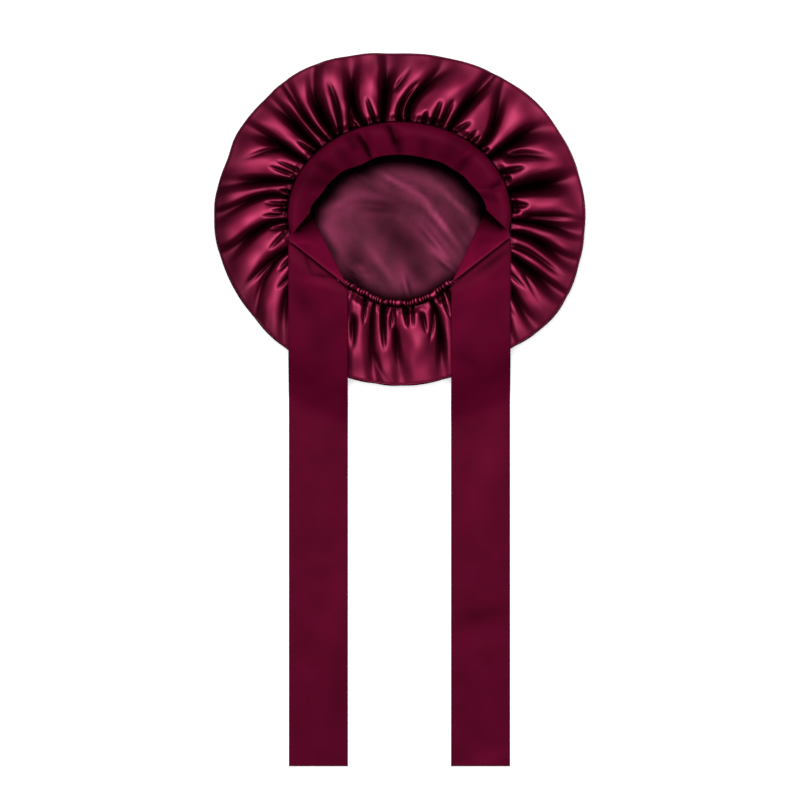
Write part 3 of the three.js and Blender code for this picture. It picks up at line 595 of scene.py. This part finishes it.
def shade_at(angle, out):
    """Share of the light on the gathers: little at the seam and at the bottom of a furrow or pleat, and 1 on
    open cloth near the opening. Each furrow dims a soft wedge that fades on its way out, and a thin core."""
    light = 1 - PLEAT_SHADE * smooth(0.2, 1.0, pleat_at(angle, out) / PLEAT_DEPTH)
    light = light * mix(SEAM_LIGHT, 1, smooth(0, 0.06, out))
    light = light * mix(1, RIM_LIGHT, smooth(0.96, 0.985, out))
    for row in FURROWS:
        side = turn_between(angle, furrow_line(row, out))
        half = np.where(side < 0, row.left, row.right) * furrow_taper(row, out)
        reach = np.sqrt(furrow_reach(row, out))
        wedge = WEDGE_SHADE * reach * mix(1, WEDGE_END, smooth(0.4, 0.95, out))
        if row.rise > 0:
            opening = BOUND_WEDGE_WIDTH
            core = BOUND_CORE_SHADE * (1 - smooth(0.6, 0.95, out))
        else:
            opening = SHORT_WEDGE_WIDTH
            core = SHORT_CORE_SHADE * reach
        light = light * (1 - wedge * bell(side / (opening * half)))
        light = light * (1 - core * bell(side / (CORE_WIDTH * half)))
    light = light * mix(1, OUTER_LIGHT + swell_at(LIGHT_SWELLS, angle), smooth(0.66, 0.92, out))
    return light * mix(1, SIDE_LIGHT, smooth(0.994, 1, out))


def gloss_at(out):
    """Share of the cloth's gloss: its turned side is seen edge on and gives back no shine."""
    return 1 - smooth(0.975, 0.99, out)


def bumps_at(rows, x, y):
    """Sum of round bumps in plan, one for each row, stretched along its turn."""
    total = 0.0
    for row_x, row_y, turn, length, width, rise in rows:
        c, s = polar(1, turn)
        along = ((x - row_x) * c + (y - row_y) * s) / length
        across = ((y - row_y) * c - (x - row_x) * s) / width
        total = total + rise * np.exp(-(along**2) - across**2)
    return total


def patches_at(rows, x, y):
    """Share of the light where lighter and darker patches lie."""
    return np.maximum(1 + bumps_at(rows, x, y), LEAST_LIGHT)


def lining_shade(x, y):
    """How much light reaches the crown's bottom: little beside the band's free edge and the elastic."""
    angle = np.degrees(np.arctan2(y - OPENING_SHIFT, x)) % 360
    angle = np.where(angle > 270, angle - 360, angle)
    rim_x, rim_y = rim_place(angle)
    share = middle_radius(x, y) / middle_radius(rim_x, rim_y)
    edge = mix(1.0, edge_share(angle), smooth(-22, 3, angle) * (1 - smooth(178, 203, angle)))
    light = mix(1, LINING_EDGE_LIGHT, smooth(edge - 0.24, edge - 0.05, share))
    return light * patches_at(LINING_PATCHES, x, y)


def crest_tilt(out):
    """Sine of the layer's tilt, from 0 on its top to 1 at the outline."""
    return np.clip(out, 0, 1) ** OUTLINE_TURN


def upper_layer(angle, out):
    """Outer face of the gathered layer: rim and outline are joined by straight lines in plan, and the
    relief stands along the layer's normal."""
    rim_x, rim_y = rim_place(angle)
    end_x, end_y = polar(outline_radius(angle), angle)
    x = mix(rim_x, end_x, out)
    y = mix(rim_y, end_y, out)
    relief = relief_at(angle, out, tie_press(x, y))
    sine = crest_tilt(out)
    outward = 1 + OUTLINE_PUSH * relief * sine / np.hypot(x, y)
    z = layer_height(out) + relief * np.sqrt(1 - sine * sine)
    return np.stack([x * outward, y * outward, z], axis=-1)


def outline_roll(angle, turn):
    """Outer face of the turn at the foot of the outline: a quarter circle from the table (turn 0) to the
    side (turn 90)."""
    radius = outline_radius(angle)
    x, y = polar(radius, angle)
    relief = relief_at(angle, 1.0, tie_press(x, y))
    sine = np.sin(np.radians(turn))
    x, y = polar(radius - TURN_RADIUS * (1 - sine) + OUTLINE_PUSH * relief * sine, angle)
    return np.stack([x, y, TURN_RADIUS * (1 - np.cos(np.radians(turn))) + 0 * x], axis=-1)


def base_disc(angle, share):
    """Underside of the crown, flat on the table."""
    x, y = polar(share * (outline_radius(angle) - TURN_RADIUS), angle)
    return np.stack([x, y, np.zeros_like(x)], axis=-1)


# Mesh making


def new_object(name, data):
    """Object in the scene with a mesh, a light or a camera."""
    made = bpy.data.objects.new(name, data)
    bpy.context.scene.collection.objects.link(made)
    return made


def grid_normals(grid, wraps):
    """Unit cross product of the differences along the columns and down the rows."""
    if wraps:
        along = np.roll(grid, -1, axis=1) - np.roll(grid, 1, axis=1)
    else:
        along = np.gradient(grid, axis=1)
    down = np.gradient(grid, axis=0)
    normal = np.cross(along, down)
    return normal / np.maximum(np.linalg.norm(normal, axis=-1, keepdims=True), 1e-9)


class Builder:
    """Collects grids of points and the faces between them, and makes one mesh object of them."""

    def __init__(self):
        self.points = []
        self.shades = []
        self.glosses = []
        self.faces = []
        self.slots = []
        self.rounds = []
        self.count = 0

    def add(self, points, shade=1.0, gloss=1.0):
        """Adds points of shape (..., 3) with the light that reaches them and their share of the cloth's
        gloss, and gives their indices."""
        shape = points.shape[:-1]
        flat = points.reshape(-1, 3)
        index = np.arange(self.count, self.count + len(flat)).reshape(shape)
        self.points.append(flat)
        self.shades.append(np.broadcast_to(shade, shape).ravel())
        self.glosses.append(np.broadcast_to(gloss, shape).ravel())
        self.count += len(flat)
        return index

    def keep(self, faces, slot, rounded):
        """Keeps faces with their material slot and whether they are shaded round."""
        self.faces.extend(faces)
        self.slots.extend([slot] * len(faces))
        self.rounds.extend([rounded] * len(faces))

    def skin(self, index, wraps, flipped=False, slot=0, rounded=True):
        """Faces of a grid, seen from the side that its normals point to."""
        following = np.roll(index, -1, axis=1) if wraps else index[:, 1:]
        this = index if wraps else index[:, :-1]
        corners = [this[:-1], following[:-1], following[1:], this[1:]]
        if flipped:
            corners.reverse()
        self.keep(np.stack([corner.ravel() for corner in corners], axis=-1).tolist(), slot, rounded)

    def strip(self, first, second, wraps):
        """Flat shaded faces between two lines of points, along a cut edge."""
        self.skin(np.stack([first, second]), wraps, rounded=False)

    def fan(self, centre, ring, slot=0):
        """Triangles from a point to a closed ring."""
        middle = int(self.add(np.array([centre], dtype=float))[0])
        following = np.roll(ring, -1)
        self.keep([[middle, int(a), int(b)] for a, b in zip(ring, following)], slot, True)

    def make(self, name, materials):
        """Makes the mesh object, with light and gloss as attributes of its points."""
        points = np.concatenate(self.points) * MM
        mesh = bpy.data.meshes.new(name)
        mesh.from_pydata(points.tolist(), [], self.faces)
        for material in materials:
            mesh.materials.append(material)
        for title, values in [("light_share", self.shades), ("gloss_share", self.glosses)]:
            attribute = mesh.attributes.new(title, "FLOAT", "POINT")
            attribute.data.foreach_set("value", np.concatenate(values).astype(np.float32))
        mesh.polygons.foreach_set("material_index", self.slots)
        mesh.polygons.foreach_set("use_smooth", self.rounds)
        mesh.validate()
        mesh.update()
        return new_object(name, mesh)


def cloth_strip(name, grid, wall, materials, shade):
    """Closed sheet of even thickness about a middle surface, with flat shaded cut edges."""
    normals = grid_normals(grid, False)
    body = Builder()
    front = body.add(grid + normals * wall / 2, shade)
    back = body.add(grid - normals * wall / 2, shade)
    body.skin(front, False)
    body.skin(back, False, True)
    body.strip(front[-1], back[-1], False)
    body.strip(back[0], front[0], False)
    body.strip(back[:, -1], front[:, -1], False)
    body.strip(front[:, 0], back[:, 0], False)
    return body.make(name, materials)


# Materials


def set_inputs(node, values):
    """Gives values to a node's inputs."""
    for socket, value in values.items():
        node.inputs[socket].default_value = value


def add_node(tree, kind, values=None, operation=None):
    """Shader node with values for some of its inputs."""
    node = tree.nodes.new("ShaderNode" + kind)
    if operation:
        node.operation = operation
    set_inputs(node, values or {})
    return node


def weave_group():
    """Fine satin threads: a fast stretched noise for the bump and a slow one that shades the dye."""
    group = bpy.data.node_groups.new("satin_threads", "ShaderNodeTree")
    for socket, way, kind in [
        ("Thread Scale", "INPUT", "Float"),
        ("Shade Amount", "INPUT", "Float"),
        ("Colour", "INPUT", "Color"),
        ("Relief", "INPUT", "Float"),
        ("Colour", "OUTPUT", "Color"),
        ("Normal", "OUTPUT", "Vector"),
    ]:
        group.interface.new_socket(socket, in_out=way, socket_type="NodeSocket" + kind)
    links = group.links
    start = group.nodes.new("NodeGroupInput")
    end = group.nodes.new("NodeGroupOutput")
    place = add_node(group, "TexCoord")
    stretch = add_node(group, "Mapping", {"Scale": (1, 0.22, 1)})
    threads = add_node(group, "TexNoise", {"Detail": 3})
    slow = add_node(group, "TexNoise", {"Scale": 38, "Detail": 4})
    bump = add_node(group, "Bump", {"Distance": 0.00006})
    shade = add_node(group, "MapRange", {"From Min": 0.3, "From Max": 0.7})
    darker = add_node(group, "Math", {0: 1}, "SUBTRACT")
    brighter = add_node(group, "Math", {0: 1}, "ADD")
    tint = add_node(group, "VectorMath", operation="SCALE")
    links.new(place.outputs["Object"], stretch.inputs["Vector"])
    links.new(stretch.outputs["Vector"], threads.inputs["Vector"])
    links.new(start.outputs["Thread Scale"], threads.inputs["Scale"])
    links.new(place.outputs["Object"], slow.inputs["Vector"])
    links.new(threads.outputs["Fac"], bump.inputs["Height"])
    links.new(start.outputs["Relief"], bump.inputs["Strength"])
    links.new(start.outputs["Shade Amount"], darker.inputs[1])
    links.new(start.outputs["Shade Amount"], brighter.inputs[1])
    links.new(slow.outputs["Fac"], shade.inputs["Value"])
    links.new(darker.outputs["Value"], shade.inputs["To Min"])
    links.new(brighter.outputs["Value"], shade.inputs["To Max"])
    links.new(start.outputs["Colour"], tint.inputs[0])
    links.new(shade.outputs["Result"], tint.inputs["Scale"])
    links.new(tint.outputs["Vector"], end.inputs["Colour"])
    links.new(bump.outputs["Normal"], end.inputs["Normal"])
    return group


THREADS = weave_group()


def satin(name, colour, roughness, metallic, thread_scale, relief, shade, coat):
    """Satin whose gloss has the dye's colour: threads roughen it, the light that reaches a place dims its
    colour and coat, and its share of gloss dims its sheen and coat."""
    material = bpy.data.materials.new(name)
    material.use_nodes = True
    tree, links = material.node_tree, material.node_tree.links
    shader = tree.nodes["Principled BSDF"]
    threads = add_node(tree, "Group")
    threads.node_tree = THREADS
    set_inputs(
        threads,
        {"Thread Scale": thread_scale, "Shade Amount": shade, "Colour": (*colour, 1), "Relief": relief},
    )
    share = add_node(tree, "Attribute")
    share.attribute_name = "light_share"
    dim = add_node(tree, "VectorMath", operation="SCALE")
    links.new(threads.outputs["Colour"], dim.inputs[0])
    links.new(share.outputs["Fac"], dim.inputs["Scale"])
    links.new(dim.outputs["Vector"], shader.inputs["Base Color"])
    gloss = add_node(tree, "Attribute")
    gloss.attribute_name = "gloss_share"
    shine = add_node(tree, "Math", {1: metallic}, "MULTIPLY")
    links.new(gloss.outputs["Fac"], shine.inputs[0])
    links.new(shine.outputs["Value"], shader.inputs["Metallic"])
    lit = add_node(tree, "Math", operation="MULTIPLY")
    film = add_node(tree, "Math", {1: coat}, "MULTIPLY")
    links.new(share.outputs["Fac"], lit.inputs[0])
    links.new(gloss.outputs["Fac"], lit.inputs[1])
    links.new(lit.outputs["Value"], film.inputs[0])
    links.new(film.outputs["Value"], shader.inputs["Coat Weight"])
    links.new(threads.outputs["Normal"], shader.inputs["Normal"])
    set_inputs(shader, {"Roughness": roughness, "Specular IOR Level": 0, "Coat Roughness": 0.4})
    return material


GLOSSY_SATIN = satin(
    "crown_satin", (0.262, 0.0078, 0.053), 0.53, 1.0, thread_scale=1500, relief=0.14, shade=0.12, coat=0.3
)
REVERSE_SATIN = satin(
    "crown_reverse", (0.034, 0.0034, 0.0106), 0.42, 1.0, thread_scale=1100, relief=0.55, shade=0.35, coat=0.05
)
BAND_SATIN = satin(
    "band_satin", (0.096, 0.0018, 0.0175), 0.55, 0.05, thread_scale=1600, relief=0.16, shade=0.1, coat=0.012
)


# The crown


def lining_relief(x, y):
    """Height of the crown's bottom with its soft diagonal wrinkles, seen inside."""
    return LINING_LIFT + WRINKLE_SHARE * bumps_at(LINING_WRINKLES, x, y)


def make_crown():
    """One closed bag: flat underside, roll and gathered layer, and its inner face a wall's thickness away.
    The layer's rows stand close together near the outline, where it turns down, and near the seam."""
    angle = np.linspace(0, 360, CROWN_COLUMNS, endpoint=False)[None, :]

    turned = 1 - TURNED_SHARE * np.linspace(0, 1, 14) ** 3
    open_part = np.linspace(0.86, 0.12, 34)
    beside_seam = np.linspace(0.1, 0, 12)
    upper_out = np.concatenate([turned, open_part, beside_seam])[:, None]
    roll_turn = np.linspace(15, 75, 5)[:, None]
    base_share = np.array([0.3, 0.6, 0.85, 1.0])[:, None]
    outer = np.concatenate(
        [base_disc(angle, base_share), outline_roll(angle, roll_turn), upper_layer(angle, upper_out)]
    )

    inner_turned = 1 - TURNED_SHARE * np.linspace(0, 1, 6) ** 3
    inner_out = np.concatenate([inner_turned, np.linspace(0.8, 0, 15)])[:, None]
    inner_turn = np.linspace(30, 60, 2)[:, None]
    inner_share = np.linspace(0.03, 1, 40)[:, None]
    inner = np.concatenate(
        [base_disc(angle, inner_share), outline_roll(angle, inner_turn), upper_layer(angle, inner_out)]
    )
    inner = inner - grid_normals(inner, True) * CROWN_WALL
    lining = slice(0, len(inner_share))
    middle = 1 - smooth(0.6, 0.95, inner_share)
    inner[lining, :, 2] += lining_relief(inner[lining, :, 0], inner[lining, :, 1]) * middle

    body = Builder()
    roll_light = np.broadcast_to(shade_at(angle, 1.0), (len(base_share) + len(roll_turn), CROWN_COLUMNS))
    gloss = np.concatenate([np.zeros((len(roll_light), 1)), gloss_at(upper_out)])
    outside = body.add(outer, np.concatenate([roll_light, shade_at(angle, upper_out)]), gloss)
    inside = body.add(inner, lining_shade(inner[..., 0], inner[..., 1]))
    body.skin(outside, True)
    body.skin(inside, True, True, 1)
    body.strip(outside[-1], inside[-1], True)
    body.fan((0, 0, 0), outside[0][::-1])
    centre_height = CROWN_WALL + float(lining_relief(np.array(0.0), np.array(0.0)))
    body.fan((0, 0, centre_height), inside[0], 1)
    return body.make("gathered_crown", [GLOSSY_SATIN, REVERSE_SATIN])


# Ties


def support_height(x, y):
    """Height that holds up cloth at a place: the crown's outer face, and the casing at the rim and inside."""
    angle = np.degrees(np.arctan2(y, x))
    radius = np.hypot(x, y)
    outline = outline_radius(angle)
    rim_x, rim_y = rim_place(np.degrees(np.arctan2(y - OPENING_SHIFT, x)))
    rim_radius = np.hypot(rim_x, rim_y)
    out = np.clip((radius - rim_radius) / (outline - rim_radius), 0, 1)
    press = tie_press(x, y)
    layer = layer_height(out) + relief_at(angle, out, press)
    casing = np.where(out < CASING_REACH, RIM_HEIGHT + EDGE_THICKNESS / 2, 0)
    return np.where(radius >= outline, 0, np.maximum(layer, casing))


def softened(height, step, times):
    """Grid of heights, each time the mean of a point and its four neighbours a step away."""
    for _ in range(times):
        total = height
        for shift, axis in [(step, 0), (-step, 0), (step, 1), (-step, 1)]:
            total = total + np.roll(height, shift, axis)
        height = total / 5
    return height


class Drape:
    """Heights of cloth laid over the crown, on a square grid that is read between its points: the support,
    widened by a slope that falls away from it, and softened."""

    STEP = 2.0

    def __init__(self):
        self.xs = np.arange(-130, 131, self.STEP)
        self.ys = np.arange(-560, 40, self.STEP)
        x, y = np.meshgrid(self.xs, self.ys)
        support = support_height(x, y)
        reach = int(DRAPE_REACH / self.STEP)
        padded = np.pad(support, reach, mode="edge")
        height = np.zeros_like(support)
        for i in range(-reach, reach + 1):
            for j in range(-reach, reach + 1):
                distance = np.hypot(i, j) * self.STEP
                rows = slice(reach + j, reach + j + len(self.ys))
                columns = slice(reach + i, reach + i + len(self.xs))
                fall = max(0, distance - DRAPE_LEVEL) * DRAPE_SLOPE
                height = np.maximum(height, padded[rows, columns] - fall)
        height = np.maximum(softened(height, 2, 12), support)
        height = softened(height, 1, 4)
        self.height = height + DRAPE_LIFT * smooth(0, 4, height) + TIE_WALL / 2

    def at(self, x, y):
        """Height at places, by the four grid points around each."""
        i = np.clip((x - self.xs[0]) / self.STEP, 0, len(self.xs) - 1.001)
        j = np.clip((y - self.ys[0]) / self.STEP, 0, len(self.ys) - 1.001)
        a, b = i.astype(int), j.astype(int)
        s, t = i - a, j - b
        low = mix(self.height[b, a], self.height[b, a + 1], s)
        high = mix(self.height[b + 1, a], self.height[b + 1, a + 1], s)
        return mix(low, high, t)


DRAPE = Drape()


def end_corners(end):
    """Plan places of the tie's top crease, outer and inner, and of the tip of the band's facet."""
    half = OPENING_DEPTH / 2
    outer = np.array([end.side * TIE_OUTER_X, OPENING_SHIFT + end.outer * half])
    inner = np.array([end.side * (TIE_OUTER_X - TIE_WIDTH), OPENING_SHIFT + end.inner * half])
    tip = np.array([end.side * end.tip_x * OPENING_WIDTH / 2, OPENING_SHIFT + end.tip_y * half])
    return outer, inner, tip


def make_tie(name, end):
    """Flat doubled strip: it starts beside the band's crease, lies over the gathers, and runs out on the
    table. Across and along are even, and the height is that of the laid cloth. Both ties end at one line."""
    outer, inner, _ = end_corners(end)
    across = np.linspace(0, 1, 33)[None, :]
    along = np.linspace(0, 1, 420)[:, None]
    start = mix(outer[1], inner[1], across) - 4 * CLEARANCE
    free_end = OPENING_SHIFT + LEFT_END.outer * OPENING_DEPTH / 2 - TIE_LENGTH
    x = mix(outer[0], inner[0], across) + 0 * along
    y = mix(start, free_end, along)
    z = DRAPE.at(x, y)
    light = patches_at(TIE_PATCHES, x, y) * mix(TIE_CREASE_LIGHT, 1, smooth(0, 0.008, along))
    return cloth_strip(name, np.stack([x, y, z], axis=-1), TIE_WALL, [BAND_SATIN], light)


# The front band


def edge_share(angle):
    """Share of the rim's radius at the band's free edge, eased between the table's rows."""
    angles, inner = np.array(BAND_EDGE).T
    place = np.clip(np.searchsorted(angles, angle), 1, len(angles) - 1)
    t = smooth(angles[place - 1], angles[place], angle)
    return mix(inner[place - 1], inner[place], t)


def crease_at(angle, across):
    """Dents across the band, each a bump about a leaning line."""
    total = 0
    for middle, spread, lean, dent in BAND_CREASES:
        total = total + dent * bell(turn_between(angle, middle + lean * across) / spread)
    return total


def band_sections(foot, edge, arch, dent, across):
    """Sections from sewn foot to free edge: reach grows as the power 1.25 of the share across, and a sine
    arch stands on the straight line between them."""
    reach = across**1.25
    bow = np.sin(np.pi * across**0.75)
    x = mix(foot[:, 0:1], edge[:, 0:1], reach)
    y = mix(foot[:, 1:2], edge[:, 1:2], reach)
    z = mix(foot[:, 2:3], edge[:, 2:3], across) + arch[:, None] * bow * (1 - dent)
    return np.stack([x, y, z], axis=-1)


def band_foot(angle):
    """Foot of the band just inside the rim."""
    x, y = rim_place(angle)
    inward = 2 * CLEARANCE + BAND_WALL / 2
    x, y = drawn_in(x, y, 1 - inward / middle_radius(x, y))
    return np.stack([x, y, np.full_like(x, RIM_HEIGHT)], axis=-1)


def standing_sections(angle, across):
    """The band from the right end round the front to the left end."""
    near_left = smooth(150, LEFT_END.start, angle)
    near_right = 1 - smooth(RIGHT_END.start, 32, angle)
    edge_angle = angle + LEFT_END.tilt * near_left + RIGHT_END.tilt * near_right
    x, y = drawn_in(*rim_place(edge_angle), edge_share(edge_angle))
    edge = np.stack([x, y, np.full_like(x, RIM_HEIGHT - BAND_EDGE_DROP)], axis=-1)
    arch = BAND_ARCH * (1 - 0.5 * near_left - 0.5 * near_right)
    dent = crease_at(angle[:, None], across)
    return band_sections(band_foot(angle), edge, arch, dent, across)


def facet_sections(end, across):
    """Sections of a band end, from the tie's crease through the dipping facet."""
    outer, inner, tip = end_corners(end)
    foot = band_foot(np.array([float(end.start)]))[0]
    low = RIM_HEIGHT - FACET_DROP
    x = mix(outer[0], inner[0], across[0])
    y = mix(outer[1], inner[1], across[0])
    crease = np.stack([x, y, DRAPE.at(x, y)], axis=-1)
    sections = [crease]
    for along, level, side in FACET_STEPS:
        start = mix(crease[0], foot, along)
        start[2] = mix(crease[0][2], foot[2], along**3)
        edge = np.array([*mix(inner, tip, side), mix(crease[-1][2], low, level)])
        sections.append(band_sections(start[None], edge[None], np.zeros(1), 0, across)[0])
    return np.array(sections)


def refine(sections, steps):
    """Adds sections between the given ones along smooth lines through them (Catmull-Rom)."""
    before = 2 * sections[:1] - sections[1:2]
    after = 2 * sections[-1:] - sections[-2:-1]
    padded = np.concatenate([before, sections, after])
    rows = []
    for i in range(len(sections) - 1):
        a, b, c, d = padded[i : i + 4]
        for t in np.arange(steps) / steps:
            curve = 2 * b + (c - a) * t + (2 * a - 5 * b + 4 * c - d) * t**2
            rows.append(0.5 * (curve + (3 * b - a - 3 * c + d) * t**3))
    rows.append(sections[-1])
    return np.array(rows)


def band_shade(angle, across):
    """How much light the band's creases let in: a soft dark stroke along each."""
    light = 1.0
    for middle, lean, spread, start, end, strength in BAND_STROKES:
        side = turn_between(angle, middle + lean * across) / spread
        begun = smooth(start - 0.15, start + 0.1, across)
        ended = smooth(end - 0.1, end + 0.15, across)
        light = light * (1 - strength * begun * (1 - ended) * bell(side))
    return light


def facet_shade(along, across):
    """Light on a facet, from the tie's crease (along 0) to the standing band: it faces the light, and the
    band's free edge casts a black line across its far end."""
    line = smooth(0.5, 0.78, along) * smooth(0.05, 0.4, across)
    return mix(FACET_CREASE_LIGHT, FACET_LIGHT, smooth(0, 0.1, along)) * (1 - FACET_SHADOW * line)


def make_band():
    """Front band: facets at both ends and the arched standing part between them."""
    across = np.linspace(0, 1, 41)[None, :]
    angle = np.linspace(RIGHT_END.start, LEFT_END.start, 400)
    standing = standing_sections(angle, across)
    right = refine(facet_sections(RIGHT_END, across), 12)
    left = refine(facet_sections(LEFT_END, across), 12)[::-1]
    steps = np.linspace(0, 1, 6)[1:-1, None, None]
    join_right = mix(right[-1], standing[0], steps)
    join_left = mix(standing[-1], left[0], steps)
    grid = np.concatenate([right, join_right, standing, join_left, left])
    facet_light = facet_shade(np.linspace(0, 1, len(right))[:, None], across)
    join_light = np.repeat(facet_light[-1:], len(steps), axis=0)
    standing_light = band_shade(angle[:, None], across)
    light = np.concatenate([facet_light, join_light, standing_light, join_light, facet_light[::-1]])
    light = light * patches_at(BAND_PATCHES, grid[..., 0], grid[..., 1])
    return cloth_strip("front_band_cloth", grid, BAND_WALL, [BAND_SATIN], light)


# The back edge


def make_back_edge():
    """Ruched casing: an oval tube along the rim that narrows and darkens in the dip of each pucker. The
    puckers' pace, depth and light waver along the rim, and so does the tube's way in plan."""
    along = np.linspace(0, 1, 900)[:, None]
    angle = mix(LEFT_END.start + EDGE_SETBACK, 360 + RIGHT_END.start - EDGE_SETBACK, along)
    rim_x, rim_y = rim_place(angle)
    radius = middle_radius(rim_x, rim_y)
    turn = -np.linspace(0, 2 * np.pi, 16, endpoint=False)[None, :]
    lap = 2 * np.pi * along
    phase = PUCKERS * lap + 3 * np.sin(5 * lap + 1) + 2 * np.sin(13 * lap) + 2.2 * np.sin(turn)
    dip = (0.5 + 0.5 * np.cos(phase)) ** 2
    pucker = 1 - (0.24 + 0.16 * np.sin(7 * lap + 2)) * dip
    waver = 0.5 * np.sin(8 * lap) + 0.45 * np.sin(17 * lap + 1)
    middle = radius - 3 * CLEARANCE - EDGE_WIDTH / 2 + waver
    reach = middle + EDGE_WIDTH / 2 * np.cos(turn) * pucker
    z = RIM_HEIGHT - CROWN_WALL / 2 + EDGE_THICKNESS / 2 * np.sin(turn) * pucker
    grid = np.stack([*drawn_in(rim_x, rim_y, reach / radius), z], axis=-1)
    body = Builder()
    light = (0.75 + 0.3 * np.sin(11 * lap)) * (1 - PUCKER_SHADE * smooth(0.1, 0.7, dip))
    rings = body.add(grid, light)
    body.skin(rings, True)
    body.fan(grid[0].mean(axis=0), rings[0][::-1])
    body.fan(grid[-1].mean(axis=0), rings[-1])
    return body.make("ruched_edge", [GLOSSY_SATIN])


# Table, light and camera


def make_stage():
    """Plain pale table, whose faint glow makes its ground white. It throws no diffuse light back on the
    cloth.
    """
    mesh = bpy.data.meshes.new("table")
    half = 4.0
    corners = [(-half, -half, 0), (half, -half, 0), (half, half, 0), (-half, half, 0)]
    mesh.from_pydata(corners, [], [(0, 1, 2, 3)])
    table = new_object("table", mesh)
    material = bpy.data.materials.new("table_paint")
    material.use_nodes = True
    shader = material.node_tree.nodes["Principled BSDF"]
    set_inputs(shader, {"Base Color": (0.93, 0.93, 0.93, 1), "Roughness": 0.9, "Specular IOR Level": 0.1})
    set_inputs(shader, {"Emission Color": (1, 1, 1, 1), "Emission Strength": 0.5})
    mesh.materials.append(material)
    table.visible_diffuse = False


def make_light(row):
    """Square soft light that faces its target from an azimuth and a tilt off the vertical."""
    data = bpy.data.lights.new(row.name, "AREA")
    data.shape = "SQUARE"
    data.size = row.size
    data.energy = row.power
    light = new_object(row.name, data)
    up, across = polar(1, row.tilt)
    light.location = LIGHT_TARGET + LIGHT_DISTANCE * Vector((*polar(across, row.turn), up))
    light.rotation_euler = (LIGHT_TARGET - light.location).to_track_quat("-Z", "Y").to_euler()


def make_world():
    """Even pale surroundings."""
    world = bpy.data.worlds.new("studio")
    world.use_nodes = True
    background = world.node_tree.nodes["Background"]
    set_inputs(background, {"Color": (1, 1, 1, 1), "Strength": WORLD_LIGHT})
    bpy.context.scene.world = world


def make_camera():
    """Looks straight down from far above, as the photo does."""
    middle = (0.0005, -0.1724)
    height = 6.0
    view_width = 0.76
    data = bpy.data.cameras.new("camera")
    data.sensor_width = 36
    data.lens = data.sensor_width * height / view_width
    data.clip_end = 50
    camera = new_object("camera", data)
    camera.location = (*middle, height)
    bpy.context.scene.camera = camera


# Put together

crown = make_crown()
band = make_band()
back_edge = make_back_edge()
tie_left = make_tie("left_tie", LEFT_END)
tie_right = make_tie("right_tie", RIGHT_END)

for piece, node, slot_name in [
    (crown, "crown", "satin"),
    (band, "front_band", "band_satin"),
    (back_edge, "back_edge", "satin"),
    (tie_left, "tie_left", "band_satin"),
    (tie_right, "tie_right", "band_satin"),
]:
    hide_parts(node)
    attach(piece, "root")

make_stage()
make_world()
for row in LIGHTS:
    make_light(row)
make_camera()
bpy.context.scene.view_settings.view_transform = "Standard"
